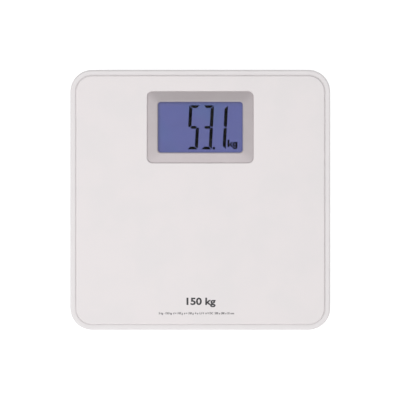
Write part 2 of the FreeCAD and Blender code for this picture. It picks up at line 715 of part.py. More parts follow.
# ------------------------------------------------------------------ display
def rounded_outline(size_x, size_y, z, radius):
    """Rounded rectangle round the display's centre, as a wire at one height."""
    slab = block(size_x, size_y, z, z + 1, DISPLAY, radius)
    return [face for face in slab.Faces if abs(face.CenterOfMass.z - z) < TINY][0].OuterWire


def display_bezel():
    """Satin silver frame, sunk in the plate: its face rises gently from its outer edge to the opening."""
    frame = block(BEZEL_X, BEZEL_Y, RECESS_FLOOR, BEZEL_EDGE_Z, DISPLAY, BEZEL_R)
    brow = 2 * BEZEL_BROW
    edge = rounded_outline(BEZEL_X, BEZEL_Y, BEZEL_EDGE_Z, BEZEL_R)
    crest = rounded_outline(WINDOW_X + brow, WINDOW_Y + brow, BEZEL_TOP, WINDOW_R + BEZEL_BROW)
    frame = frame.fuse(Part.makeLoft([edge, crest], True, True)).removeSplitter()
    frame = frame.makeFillet(BEZEL_EDGE_R, flat_edges(frame, BEZEL_EDGE_Z))
    collar = block(COLLAR_X, COLLAR_Y, COLLAR_LOW, RECESS_FLOOR, DISPLAY, COLLAR_R)
    frame = frame.fuse(collar)
    frame = frame.cut(block(WINDOW_X, WINDOW_Y, WINDOW_TOP, BEZEL_TOP, DISPLAY, WINDOW_R))
    rebate = 2 * (WINDOW_LEDGE + SLIP)
    frame = frame.cut(block(WINDOW_X + rebate, WINDOW_Y + rebate, COLLAR_LOW, WINDOW_TOP, DISPLAY, WINDOW_R))
    mouth = flat_edges(frame, BEZEL_TOP, WINDOW_X / 2, WINDOW_Y / 2, DISPLAY)
    return frame.makeChamfer(BEZEL_BEVEL, mouth)


def display_window():
    """Clear pane, pressed up into the bezel."""
    size_x = WINDOW_X + 2 * WINDOW_LEDGE
    size_y = WINDOW_Y + 2 * WINDOW_LEDGE
    return block(size_x, size_y, WINDOW_TOP - WINDOW_THICKNESS, WINDOW_TOP, DISPLAY, WINDOW_R)


def window_tape():
    """Adhesive frame between the pane and the display cell."""
    top = WINDOW_TOP - WINDOW_THICKNESS
    size_x = WINDOW_X + 2 * WINDOW_LEDGE
    size_y = WINDOW_Y + 2 * WINDOW_LEDGE
    tape = block(size_x, size_y, COLLAR_LOW, top, DISPLAY, WINDOW_R)
    return tape.cut(block(WINDOW_X + 1, WINDOW_Y + 1, COLLAR_LOW, top, DISPLAY, WINDOW_R))


def lcd_front_polarizer():
    """Polarizing film on the front glass."""
    return block(LCD_X - 2, LCD_REAR_Y + 1.6, POLARIZER_LOW, COLLAR_LOW, DISPLAY)


def lcd_front_glass():
    """Front glass, which overhangs the rear glass on two sides to reach the zebra strips."""
    return block(LCD_X, LCD_FRONT_Y, FRONT_GLASS_LOW, POLARIZER_LOW, DISPLAY)


def lcd_rear_glass():
    """Rear glass with the seal that keeps it off the front glass."""
    glass = block(LCD_X, LCD_REAR_Y, REAR_GLASS_LOW, LCD_CELL_LOW, DISPLAY)
    seal = block(LCD_X, LCD_REAR_Y, LCD_CELL_LOW, FRONT_GLASS_LOW, DISPLAY)
    seal = seal.cut(block(LCD_X - 3, LCD_REAR_Y - 2, LCD_CELL_LOW, FRONT_GLASS_LOW, DISPLAY))
    return glass.fuse(seal)


def lcd_rear_polarizer():
    """Blue polarizing film behind the rear glass."""
    return block(GUIDE_X, GUIDE_Y, REAR_POLARIZER_LOW, REAR_GLASS_LOW, DISPLAY)


def backlight_guide():
    """Acrylic plate that spreads the light over the display."""
    return block(GUIDE_X, GUIDE_Y, GUIDE_LOW, REAR_POLARIZER_LOW, DISPLAY)


def backlight_reflector():
    """White film behind the light guide."""
    return block(GUIDE_X, GUIDE_Y, REFLECTOR_LOW, GUIDE_LOW, DISPLAY)


def backlight_board():
    """Strip board with its LEDs against the light guide's right edge."""
    low = GUIDE_LOW + 0.2
    high = REAR_POLARIZER_LOW - 0.2
    edge = GUIDE_X / 2
    board_x = (edge + LED_THICKNESS, edge + LED_THICKNESS + LED_BOARD)
    pieces = [span(board_x, (DISPLAY_Y - 24, DISPLAY_Y + 24), (low, high))]
    for i in range(LED_COUNT):
        y = DISPLAY_Y + (i - (LED_COUNT - 1) / 2) * LED_PITCH
        pieces.append(span((edge, edge + LED_THICKNESS), (y - 1.5, y + 1.5), (low + 0.5, high - 0.5)))
    return union(pieces)


def zebra_strips():
    """Two rubber connector strips between the main board and the front glass."""
    rows = (DISPLAY_Y - ZEBRA_Y, DISPLAY_Y + ZEBRA_Y)
    return [block(ZEBRA_X, ZEBRA_WIDTH, BOARD_TOP, FRONT_GLASS_LOW, (0.0, y)) for y in rows]


def lcd_holder():
    """White frame that locates the glass, the light guide and the zebra strips on the main board."""
    fit = 0.4
    holder = block(HOLDER_X, HOLDER_Y, BOARD_TOP, DECK_UNDERSIDE, DISPLAY, radius=2.0)
    cuts = [block(LCD_X + fit, LCD_FRONT_Y + fit, FRONT_GLASS_LOW, DECK_UNDERSIDE, DISPLAY)]
    cuts.append(block(LCD_X + fit, LCD_REAR_Y + fit, REFLECTOR_LOW, FRONT_GLASS_LOW, DISPLAY))
    cuts.append(block(GUIDE_X - 14, GUIDE_Y - 14, BOARD_TOP, REFLECTOR_LOW, DISPLAY, radius=3.0))
    for y in (DISPLAY_Y - ZEBRA_Y, DISPLAY_Y + ZEBRA_Y):
        size = (ZEBRA_X + fit, ZEBRA_WIDTH + fit / 2)
        cuts.append(block(*size, BOARD_TOP, FRONT_GLASS_LOW, (0.0, y)))
    return holder.cut(cuts)


# ------------------------------------------------------------------ display figures
def segment_points(letter):
    """Plan outline of one of the seven segments, upright and centred on its digit."""
    w = DIGIT_WIDTH / 2
    h = DIGIT_HEIGHT / 2
    gap = SEGMENT_GAP
    inner = w - STROKE_X
    if letter == "g":
        tip = w - STROKE_X / 2 - gap
        half = STROKE_Y / 2
        return [(-tip, 0), (-inner, half), (inner, half), (tip, 0), (inner, -half), (-inner, -half)]
    if letter in "ad":
        outline = [(-w + gap, h), (w - gap, h), (inner, h - STROKE_Y), (-inner, h - STROKE_Y)]
        flip = (1, 1 if letter == "a" else -1)
    else:
        foot = STROKE_Y / 2 + gap / 2
        outline = [(w, h - gap), (w, gap), (w - STROKE_X / 2, gap / 2)]
        outline += [(inner, foot), (inner, h - STROKE_Y - gap)]
        flip = (1 if letter in "bc" else -1, 1 if letter in "bf" else -1)
    return [(x * flip[0], y * flip[1]) for x, y in outline]


def figure(points, shift):
    """Segment of the reading in the liquid crystal layer, leaning to the right."""
    placed = [(shift + x + y * LEAN, DISPLAY_Y + y) for x, y in points]
    return prism(placed, LCD_CELL_LOW, FRONT_GLASS_LOW)


def unit_letters():
    """The letters kg beside the reading, in heavy upright strokes."""
    s = UNIT_STROKE
    base = DISPLAY_Y + UNIT_BASE
    levels = (LCD_CELL_LOW, FRONT_GLASS_LOW)
    stem = span((UNIT_X, UNIT_X + s), (base, base + 7.9), levels)
    left = UNIT_X + s
    arms = [(0, 3.0), (1.8, 5.5), (3.8, 5.5), (1.9, 2.9), (4.0, 0), (1.9, 0), (0.6, 2.0), (0, 1.4)]
    arms = prism([(left + x, base + y) for x, y in arms], *levels)
    bowl_x = UNIT_X + 8.0
    bowl = ring(2.65, 2.65 - s * 0.85, *levels, (bowl_x, base + 2.8))
    back = span((bowl_x + 2.65 - s, bowl_x + 2.65), (base + 0.2, base + 5.5), levels)
    tail = ring(2.65, 2.65 - s * 0.85, *levels, (bowl_x, base + 0.2))
    tail = tail.cut(span((bowl_x - 4, bowl_x + 4), (base + 0.2, base + 4), levels))
    return [union([stem, arms]), union([bowl, back, tail])]


def lcd_segments():
    """Dark areas of the liquid crystal layer: the reading 53.1 and its unit."""
    solids = []
    for i, digit in enumerate(READING):
        shift = FIRST_DIGIT_X + i * DIGIT_PITCH
        solids += [figure(segment_points(letter), shift) for letter in SEGMENTS_OF[digit]]
    half = POINT_SIDE / 2
    foot = -DIGIT_HEIGHT / 2
    point = [(-half, foot), (half, foot), (half, foot + POINT_SIDE), (-half, foot + POINT_SIDE)]
    solids.append(figure(point, POINT_X + LEAN * DIGIT_HEIGHT / 2))
    return solids + unit_letters()


# ------------------------------------------------------------------ electronics
def board_screw_places():
    """Plan places of the main board's screws."""
    sides = (-1, 1)
    return [(x * BOARD_SCREW_X, DISPLAY_Y + y * BOARD_SCREW_Y) for x in sides for y in sides]


def main_board():
    """Circuit board under the display."""
    board = block(BOARD_X, BOARD_Y, BOARD_LOW, BOARD_TOP, DISPLAY, radius=2.0)
    return board.cut([disc(SMALL_SCREW_R + SLIP, BOARD_LOW, BOARD_TOP, at) for at in board_screw_places()])


def board_screws():
    """Four screws that hold the main board under the deck."""
    low = BOARD_LOW - SMALL_HEAD
    places = board_screw_places()
    return [screw(at, low, SMALL_HEAD_R, SMALL_HEAD, SMALL_SCREW_R, DECK_UNDERSIDE - 2) for at in places]


def board_components():
    """Parts under the board: sealed processor, converter, crystal, capacitors and connectors."""
    processor = disc(8.0, BOARD_LOW - 1.6, BOARD_LOW, (-8.0, DISPLAY_Y))
    processor = processor.makeFillet(1.2, flat_edges(processor, BOARD_LOW - 1.6))
    parts = [processor]
    parts.append(block(10.0, 6.2, BOARD_LOW - 1.7, BOARD_LOW, (18.0, DISPLAY_Y + 6)))
    parts.append(block(8.0, 3.2, BOARD_LOW - 2.5, BOARD_LOW, (-30.0, DISPLAY_Y + 4), radius=1.5))
    for x in (32.0, 40.0):
        parts.append(disc(3.1, BOARD_LOW - 5.4, BOARD_LOW, (x, DISPLAY_Y + 20)))
    for i in range(6):
        parts.append(block(2.0, 1.2, BOARD_LOW - 0.6, BOARD_LOW, (-30.0 + 6 * i, DISPLAY_Y - 20)))
    for sx in (-1, 1):
        for y in CONNECTOR_ROWS.values():
            parts.append(block(8.0, 10.0, CONNECTOR_LOW, BOARD_LOW, (sx * CONNECTOR_X, y)))
    parts.append(block(8.0, 6.0, CONNECTOR_LOW, BOARD_LOW, BATTERY_PLUG))
    return parts


def unit_switch():
    """Push switch under the board, with a bore for its plunger."""
    body = block(SWITCH_SIDE, SWITCH_SIDE, SWITCH_LOW, BOARD_LOW, BUTTON)
    top = SWITCH_LOW + BUTTON_TRAVEL + 0.9
    return body.cut(disc(PLUNGER_R + 0.1, SWITCH_LOW, top, BUTTON))


def switch_plunger():
    """Plunger of the push switch, which rests on the unit button's stem."""
    return disc(PLUNGER_R, PLUNGER_LOW, SWITCH_LOW + 0.8, BUTTON)


def unit_button():
    """Button in the underside that changes the unit: cap, flange and long stem."""
    cap = disc(BUTTON_R, BUTTON_LOW, BUTTON_FLANGE_TOP, BUTTON)
    cap = cap.makeFillet(0.5, flat_edges(cap, BUTTON_LOW))
    flange = disc(BUTTON_FLANGE_R, BUTTON_FLANGE_LOW, BUTTON_FLANGE_TOP, BUTTON)
    stem = disc(BUTTON_STEM_R, BUTTON_FLANGE_TOP - 1, PLUNGER_LOW, BUTTON)
    return union([cap, flange, stem])


# ------------------------------------------------------------------ build
def single_parts():
    """Every sub-part that the scale has once, or as a group of alike solids."""
    makers = [platform_plate, top_shell, bottom_cover, case_screws, rating_plate]
    makers += [strain_gauges, retainer_screws, battery_cover, door_foam]
    makers += [battery_contacts, battery_springs, battery_leads]
    makers += [display_bezel, display_window, window_tape, lcd_front_polarizer, lcd_front_glass]
    makers += [lcd_segments, lcd_rear_glass, lcd_rear_polarizer, backlight_guide, backlight_reflector]
    makers += [backlight_board, zebra_strips, lcd_holder]
    makers += [main_board, board_screws, board_components, unit_switch, switch_plunger, unit_button]
    return {maker.__name__: maker() for maker in makers}


def corner_parts():
    """The pieces at each of the four feet, numbered from the right front corner, anticlockwise."""
    parts = {}
    for number, centre, sx, sy in corners():
        parts[f"load_cell_{number}"] = load_cell(centre, sx)
        parts[f"cell_retainer_{number}"] = cell_retainer(centre)
        parts[f"cell_wires_{number}"] = cell_wires(centre, sx, sy)
        parts[f"thrust_pad_{number}"] = thrust_pad(centre)
        parts[f"foot_cup_{number}"] = foot_cup(centre)
        parts[f"foot_pad_{number}"] = foot_pad(centre)
    return parts


def main():
    """Writes every sub-part to its own file."""
    os.makedirs("parts", exist_ok=True)
    parts = {**single_parts(), **corner_parts()}
    for number, (row, nub_side) in enumerate(battery_rows(), start=1):
        parts[f"battery_{number}"] = battery(row, nub_side)
    for name, made in parts.items():
        shape = Part.makeCompound(made) if isinstance(made, list) else made
        valid = shape.isValid()
        print(f"{name}: {len(shape.Solids)} solids, {shape.Volume / 1000:.2f} cm3, valid {valid}")
        shape.exportStep(f"parts/{name}.step")


main()
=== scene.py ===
"""Digital bathroom scale: finishes, printing, small fittings, studio and camera.

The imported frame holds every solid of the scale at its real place. This script gives each of them its
finish, adds what is too fine for the frame (printing, tread ribs, grip ridges, pins, raised marks), and
sets up the floor, the light and the camera. Sizes are in metres unless a name says otherwise.
"""

import logging
import math
from dataclasses import dataclass
from enum import Enum
from typing import Any

import bmesh
import bpy
from mathutils import Matrix, Vector


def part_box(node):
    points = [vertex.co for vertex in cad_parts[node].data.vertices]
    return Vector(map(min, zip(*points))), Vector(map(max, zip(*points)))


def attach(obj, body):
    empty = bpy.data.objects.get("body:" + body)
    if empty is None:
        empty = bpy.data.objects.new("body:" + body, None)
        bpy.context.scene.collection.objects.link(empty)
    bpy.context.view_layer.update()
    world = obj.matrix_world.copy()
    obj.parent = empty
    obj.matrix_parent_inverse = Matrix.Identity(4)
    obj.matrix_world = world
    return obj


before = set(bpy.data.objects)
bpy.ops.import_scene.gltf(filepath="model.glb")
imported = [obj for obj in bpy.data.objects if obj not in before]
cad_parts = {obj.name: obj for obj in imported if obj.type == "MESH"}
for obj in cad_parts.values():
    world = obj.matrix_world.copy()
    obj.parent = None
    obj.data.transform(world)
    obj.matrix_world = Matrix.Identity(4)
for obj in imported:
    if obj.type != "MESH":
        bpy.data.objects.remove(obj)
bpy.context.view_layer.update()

LOG = logging.getLogger("bathroom_scale")
MM = 0.001
Colour = tuple[float, float, float]


class Body(str, Enum):
    """Bodies of the frame that new pieces ride on, besides the four feet."""

    HOUSING = "housing"
    DOOR = "battery_door"


# ------------------------------------------------------------------ node helpers
class Sheet:
    """Adds nodes to one node tree and joins them."""

    def __init__(self, tree: bpy.types.NodeTree) -> None:
        """Keeps the tree.

        Args:
            tree: the shader or geometry tree to fill.
        """
        self.tree = tree

    def feed(self, socket: bpy.types.NodeSocket, value: Any) -> None:
        """Joins an input to another node's output, or sets its plain value.

        Args:
            socket: the input socket.
            value: an output socket, a number, a colour or a vector.
        """
        if isinstance(value, bpy.types.NodeSocket):
            self.tree.links.new(value, socket)
        elif socket.type == "RGBA" and len(value) == 3:
            socket.default_value = (*value, 1.0)
        else:
            socket.default_value = value

    def add(self, kind: str, inputs: dict[Any, Any] | None = None, **settings: Any) -> bpy.types.Node:
        """Adds one node.

        Args:
            kind: the node's type name.
            inputs: values or sockets for its inputs, by name or number.
            **settings: the node's own properties.

        Returns:
            The new node.
        """
        node = self.tree.nodes.new(kind)
        for key, value in settings.items():
            setattr(node, key, value)
        for key, value in (inputs or {}).items():
            self.feed(node.inputs[key], value)
        return node

    def maths(self, operation: str, first: Any, second: Any = 0.0) -> bpy.types.NodeSocket:
        """Adds a maths node on two values and returns its result."""
        return self.add("ShaderNodeMath", {0: first, 1: second}, operation=operation).outputs[0]

    def blend(self, factor: Any, first: Any, second: Any, mode: str = "MIX") -> bpy.types.NodeSocket:
        """Mixes two colours.

        Args:
            factor: share of the second colour.
            first: colour at factor 0.
            second: colour at factor 1.
            mode: the mixing mode.

        Returns:
            The mixed colour.
        """
        inputs = {0: factor, 6: first, 7: second}
        return self.add("ShaderNodeMix", inputs, data_type="RGBA", blend_type=mode).outputs[2]

    def remap(self, value: Any, low: float, high: float, start: Any, end: Any) -> bpy.types.NodeSocket:
        """Maps a value from low..high to start..end along a smooth step, clamped.

        Args:
            value: the value to map.
            low: input that gives start.
            high: input that gives end.
            start: result at low.
            end: result at high.

        Returns:
            The mapped value.
        """
        inputs = {0: value, 1: low, 2: high, 3: start, 4: end}
        return self.add("ShaderNodeMapRange", inputs, interpolation_type="SMOOTHSTEP").outputs[0]

    def noise(self, place: Any, scale: Any, detail: float = 2.0) -> bpy.types.NodeSocket:
        """Adds a noise texture and returns its value, about 0.5 on average."""
        return self.add("ShaderNodeTexNoise", {"Vector": place, "Scale": scale, "Detail": detail}).outputs[0]

    def split(self, vector: Any) -> tuple[bpy.types.NodeSocket, ...]:
        """Returns the three parts of a vector."""
        return tuple(self.add("ShaderNodeSeparateXYZ", {0: vector}).outputs)


class Effect:
    """A shader node group with named inputs and outputs, built once and placed in many materials."""

    name = ""
    sockets_in: dict[str, str] = {}
    sockets_out: dict[str, str] = {}

    def wire(self, sheet: Sheet, given: Any, result: Any) -> None:
        """Fills the group between its inputs and outputs."""
        raise NotImplementedError

    def tree(self) -> bpy.types.NodeTree:
        """Returns the group's tree, made on first use."""
        made = bpy.data.node_groups.get(self.name)
        if made is None:
            made = bpy.data.node_groups.new(self.name, "ShaderNodeTree")
            for name, kind in self.sockets_in.items():
                made.interface.new_socket(name, in_out="INPUT", socket_type=f"NodeSocket{kind}")
            for name, kind in self.sockets_out.items():
                made.interface.new_socket(name, in_out="OUTPUT", socket_type=f"NodeSocket{kind}")
            sheet = Sheet(made)
            self.wire(sheet, sheet.add("NodeGroupInput").outputs, sheet.add("NodeGroupOutput").inputs)
        return made

    def place(self, sheet: Sheet, **values: Any) -> dict[str, bpy.types.NodeSocket]:
        """Adds the group to a material.

        Args:
            sheet: the material's sheet.
            **values: the group's inputs, with underscores for the spaces in their names.

        Returns:
            The group's outputs by name.
        """
        node = sheet.add("ShaderNodeGroup", node_tree=self.tree())
        for name, value in values.items():
            sheet.feed(node.inputs[name.replace("_", " ")], value)
        return {socket.name: socket for socket in node.outputs}


class MouldGrain(Effect):
    """Fine skin of a moulded part: a height for the bump and an uneven roughness."""

    name = "mould_grain"
    sockets_in = {"Place": "Vector", "Grains": "Float", "Roughness": "Float", "Spread": "Float"}
    sockets_out = {"Height": "Float", "Roughness": "Float"}

    def wire(self, sheet: Sheet, given: Any, result: Any) -> None:
        """Mixes a fine and a coarse noise."""
        fine = sheet.noise(given["Place"], given["Grains"], 3.0)
        coarse = sheet.noise(given["Place"], sheet.maths("MULTIPLY", given["Grains"], 0.08), 2.0)
        height = sheet.maths("ADD", sheet.maths("MULTIPLY", fine, 0.7), sheet.maths("MULTIPLY", coarse, 0.3))
        offset = sheet.maths("MULTIPLY", sheet.maths("SUBTRACT", height, 0.5), given["Spread"])
        sheet.feed(result["Height"], height)
        sheet.feed(result["Roughness"], sheet.maths("ADD", given["Roughness"], offset))


class ColourMottle(Effect):
    """Faint cloudy patches of a second colour, as pigment and handling leave on a pale part."""

    name = "colour_mottle"
    sockets_in = {"Place": "Vector", "Colour": "Color", "Patch Colour": "Color", "Patches": "Float",
                  "Amount": "Float"}
    sockets_out = {"Colour": "Color"}

    def wire(self, sheet: Sheet, given: Any, result: Any) -> None:
        """Turns a large noise into a soft mask between the two colours."""
        cloud = sheet.noise(given["Place"], given["Patches"], 3.0)
        mask = sheet.maths("MULTIPLY", sheet.remap(cloud, 0.38, 0.66, 0.0, 1.0), given["Amount"])
        sheet.feed(result["Colour"], sheet.blend(mask, given["Colour"], given["Patch Colour"]))


class EdgeWear(Effect):
    """Lighter, rubbed colour on sharp edges, broken up by noise."""

    name = "edge_wear"
    sockets_in = {"Place": "Vector", "Colour": "Color", "Worn Colour": "Color", "Amount": "Float"}
    sockets_out = {"Colour": "Color", "Mask": "Float"}

    def wire(self, sheet: Sheet, given: Any, result: Any) -> None:
        """Takes the surface's pointiness above flat as the mask."""
        point = sheet.add("ShaderNodeNewGeometry").outputs["Pointiness"]
        edge = sheet.remap(point, 0.52, 0.60, 0.0, 1.0)
        broken = sheet.remap(sheet.noise(given["Place"], 900.0, 3.0), 0.35, 0.6, 0.2, 1.0)
        mask = sheet.maths("MULTIPLY", sheet.maths("MULTIPLY", edge, broken), given["Amount"])
        sheet.feed(result["Colour"], sheet.blend(mask, given["Colour"], given["Worn Colour"]))
        sheet.feed(result["Mask"], mask)


class SettledDust(Effect):
    """Thin pale dust that gathers in clouds on the parts below the case."""

    name = "settled_dust"
    sockets_in = {"Place": "Vector", "Colour": "Color", "Dust Colour": "Color", "Amount": "Float"}
    sockets_out = {"Colour": "Color", "Mask": "Float"}

    def wire(self, sheet: Sheet, given: Any, result: Any) -> None:
        """Multiplies a cloud mask with a speckle mask."""
        cloud = sheet.remap(sheet.noise(given["Place"], 120.0, 4.0), 0.42, 0.7, 0.0, 1.0)
        speck = sheet.remap(sheet.noise(given["Place"], 2200.0, 2.0), 0.4, 0.62, 0.3, 1.0)
        mask = sheet.maths("MULTIPLY", sheet.maths("MULTIPLY", cloud, speck), given["Amount"])
        sheet.feed(result["Colour"], sheet.blend(mask, given["Colour"], given["Dust Colour"]))
        sheet.feed(result["Mask"], mask)


class BrushedLines(Effect):
    """Fine lines along X, as rolling or brushing leaves on sheet metal."""

    name = "brushed_lines"
    sockets_in = {"Place": "Vector", "Lines": "Float", "Roughness": "Float", "Spread": "Float"}
    sockets_out = {"Height": "Float", "Roughness": "Float"}

    def wire(self, sheet: Sheet, given: Any, result: Any) -> None:
        """Stretches a noise along X."""
        stretched = sheet.add("ShaderNodeMapping", {"Vector": given["Place"], "Scale": (0.03, 1.0, 1.0)})
        lines = sheet.noise(stretched.outputs[0], given["Lines"], 3.0)
        offset = sheet.maths("MULTIPLY", sheet.maths("SUBTRACT", lines, 0.5), given["Spread"])
        sheet.feed(result["Height"], lines)
        sheet.feed(result["Roughness"], sheet.maths("ADD", given["Roughness"], offset))


# ------------------------------------------------------------------ finishes
@dataclass(frozen=True)
class Finish:
    """What every finish has: its name and the record's material slot that it stands for."""

    name: str
    slot: str

    def paint(self, sheet: Sheet, shader: bpy.types.Node, place: bpy.types.NodeSocket) -> None:
        """Joins the finish's nodes to the shader."""
        raise NotImplementedError

    def material(self) -> bpy.types.Material:
        """Returns the material, made on first use."""
        made = bpy.data.materials.get(self.name)
        if made is None:
            made = bpy.data.materials.new(self.name)
            made.use_nodes = True
            made.node_tree.nodes.clear()
            sheet = Sheet(made.node_tree)
            shader = sheet.add("ShaderNodeBsdfPrincipled")
            sheet.add("ShaderNodeOutputMaterial", {"Surface": shader.outputs["BSDF"]})
            self.paint(sheet, shader, sheet.add("ShaderNodeTexCoord").outputs["Object"])
        return made


@dataclass(frozen=True)
class Moulding(Finish):
    """Moulded plastic or rubber with a grained skin, faint colour patches and, if wanted, dust."""

    colour: Colour
    patch_colour: Colour
    roughness: float = 0.42
    spread: float = 0.08
    grains: float = 1800.0
    relief: float = 0.00001
    patches: float = 28.0
    mottle: float = 0.35
    dust: float = 0.0
    specular: float = 0.5
    coat: float = 0.0

    def paint(self, sheet: Sheet, shader: bpy.types.Node, place: bpy.types.NodeSocket) -> None:
        """Joins mottle, grain and dust to the shader."""
        colour = ColourMottle().place(sheet, Place=place, Colour=self.colour, Patch_Colour=self.patch_colour,
                                      Patches=self.patches, Amount=self.mottle)["Colour"]
        if self.dust:
            dusted = SettledDust().place(sheet, Place=place, Colour=colour, Amount=self.dust,
                                         Dust_Colour=(0.42, 0.40, 0.37))
            colour = dusted["Colour"]
        grain = MouldGrain().place(sheet, Place=place, Grains=self.grains, Roughness=self.roughness,
                                   Spread=self.spread)
        bump = sheet.add("ShaderNodeBump", {"Height": grain["Height"], "Distance": self.relief})
        sheet.feed(shader.inputs["Base Color"], colour)
        sheet.feed(shader.inputs["Roughness"], grain["Roughness"])
        sheet.feed(shader.inputs["Normal"], bump.outputs[0])
        sheet.feed(shader.inputs["Specular IOR Level"], self.specular)
        sheet.feed(shader.inputs["Coat Weight"], self.coat)


@dataclass(frozen=True)
class Metal(Finish):
    """Plated, rolled or painted metal with fine lines and rubbed edges."""

    colour: Colour
    worn_colour: Colour
    roughness: float = 0.35
    spread: float = 0.2
    lines: float = 2600.0
    relief: float = 0.000004
    metallic: float = 1.0
    wear: float = 0.5

    def paint(self, sheet: Sheet, shader: bpy.types.Node, place: bpy.types.NodeSocket) -> None:
        """Joins lines and edge wear to the shader."""
        mottled = ColourMottle().place(sheet, Place=place, Colour=self.colour, Patch_Colour=self.worn_colour,
                                       Patches=60.0, Amount=0.2)["Colour"]
        worn = EdgeWear().place(sheet, Place=place, Colour=mottled, Worn_Colour=self.worn_colour,
                                Amount=self.wear)
        lines = BrushedLines().place(sheet, Place=place, Lines=self.lines, Roughness=self.roughness,
                                     Spread=self.spread)
        bump = sheet.add("ShaderNodeBump", {"Height": lines["Height"], "Distance": self.relief})
        sheet.feed(shader.inputs["Base Color"], worn["Colour"])
        sheet.feed(shader.inputs["Metallic"], self.metallic)
        sheet.feed(shader.inputs["Roughness"], lines["Roughness"])
        sheet.feed(shader.inputs["Normal"], bump.outputs[0])


@dataclass(frozen=True)
class ClearSheet(Finish):
    """Clear pane or film that is seen straight through, with faint wiping smears in its gloss."""

    colour: Colour
    alpha: float
    roughness: float = 0.04
    smear: float = 0.06
    transmission: float = 0.0
    specular: float = 0.5

    def paint(self, sheet: Sheet, shader: bpy.types.Node, place: bpy.types.NodeSocket) -> None:
        """Joins the smears to the roughness, and a slight tint variation to the colour."""
        cloud = sheet.noise(place, 70.0, 4.0)
        dimmer = tuple(0.94 * part for part in self.colour)
        sheet.feed(shader.inputs["Base Color"], sheet.blend(cloud, self.colour, dimmer))
        rough = sheet.remap(cloud, 0.45, 0.7, self.roughness, self.roughness + self.smear)
        sheet.feed(shader.inputs["Roughness"], rough)
        sheet.feed(shader.inputs["Alpha"], self.alpha)
        sheet.feed(shader.inputs["Transmission Weight"], self.transmission)
        sheet.feed(shader.inputs["Specular IOR Level"], self.specular)


@dataclass(frozen=True)
class BacklitFilm(Finish):
    """Blue film with the backlight behind it: even in the middle, dimmer along the far and left edges, partly as
    backlight falloff and partly as painted shadow of the recess under the bezel.
    """

    colour: Colour
    glow: Colour
    # colour at the edges: the glow dimmed partly by backlight falloff and partly by painted shadow of the recess
    edge_glow_with_painted_shade: Colour
    strength: float
    low: tuple[float, float]
    high: tuple[float, float]
    # widths of the dimming at the left, right, near and far edges, which paint the recess's shadow along with the
    # backlight falloff
    fall: tuple[float, float, float, float]

    def paint(self, sheet: Sheet, shader: bpy.types.Node, place: bpy.types.NodeSocket) -> None:
        """Builds the glow from the distance to each edge, with faint clouds of the light guide. The dimming towards
        the edges is partly backlight falloff and partly painted shadow of the recess under the bezel.
        """
        x, y, _ = sheet.split(place)
        left, right, near, far = self.fall
        # painted shadow of the recess under the bezel, together with backlight falloff: the glow dims towards each
        # edge
        glow_with_painted_shade = sheet.remap(x, self.low[0], self.low[0] + left, 0.0, 1.0)
        glow_with_painted_shade = sheet.maths("MULTIPLY", glow_with_painted_shade, sheet.remap(x, self.high[0] - right, self.high[0], 1.0, 0.55))
        glow_with_painted_shade = sheet.maths("MULTIPLY", glow_with_painted_shade, sheet.remap(y, self.low[1], self.low[1] + near, 0.6, 1.0))
        glow_with_painted_shade = sheet.maths("MULTIPLY", glow_with_painted_shade, sheet.remap(y, self.high[1] - far, self.high[1], 1.0, 0.0))
        cloud = sheet.remap(sheet.noise(place, 45.0, 2.0), 0.3, 0.7, 0.0, 0.16)
        glow_with_painted_shade = sheet.maths("MULTIPLY", glow_with_painted_shade, sheet.maths("SUBTRACT", 1.0, cloud))
        violet = sheet.blend(sheet.remap(sheet.noise(place, 22.0, 1.0), 0.4, 0.62, 0.0, 0.5),
                             self.glow, (self.glow[0] * 1.22, self.glow[1] * 0.93, self.glow[2] * 1.05))
        sheet.feed(shader.inputs["Base Color"], self.colour)
        sheet.feed(shader.inputs["Emission Color"], sheet.blend(glow_with_painted_shade, self.edge_glow_with_painted_shade, violet))
        sheet.feed(shader.inputs["Emission Strength"], self.strength)
        sheet.feed(shader.inputs["Roughness"], sheet.remap(cloud, 0.0, 0.16, 0.3, 0.4))
        sheet.feed(shader.inputs["Specular IOR Level"], 0.2)


@dataclass(frozen=True)
class SolderMask(Finish):
    """Circuit board: coloured mask over copper tracks, with round tinned pads on a grid."""

    colour: Colour
    track_colour: Colour
    pitch: float = 0.00254

    def paint(self, sheet: Sheet, shader: bpy.types.Node, place: bpy.types.NodeSocket) -> None:
        """Draws the tracks with a square-celled pattern and the pads with a grid of dots."""
        cells = sheet.add("ShaderNodeTexVoronoi", {"Vector": place, "Scale": 0.35 / self.pitch, "Randomness": 0.8},
                          distance="MANHATTAN", feature="DISTANCE_TO_EDGE")
        track = sheet.remap(cells.outputs["Distance"], 0.04, 0.08, 1.0, 0.0)
        x, y, _ = sheet.split(place)
        rows = sheet.maths("COSINE", sheet.maths("MULTIPLY", x, 2 * math.pi / self.pitch))
        columns = sheet.maths("COSINE", sheet.maths("MULTIPLY", y, 2 * math.pi / self.pitch))
        chosen = sheet.remap(sheet.noise(place, 60.0, 0.0), 0.52, 0.55, 0.0, 1.0)
        pad = sheet.maths("MULTIPLY", sheet.remap(sheet.maths("ADD", rows, columns), 1.55, 1.65, 0.0, 1.0), chosen)
        colour = sheet.blend(track, self.colour, self.track_colour)
        sheet.feed(shader.inputs["Base Color"], sheet.blend(pad, colour, (0.72, 0.70, 0.66)))
        sheet.feed(shader.inputs["Metallic"], pad)
        sheet.feed(shader.inputs["Roughness"], sheet.remap(track, 0.0, 1.0, 0.32, 0.24))
        bump = sheet.add("ShaderNodeBump", {"Height": sheet.maths("MAXIMUM", track, pad), "Distance": 0.00004})
        sheet.feed(shader.inputs["Normal"], bump.outputs[0])


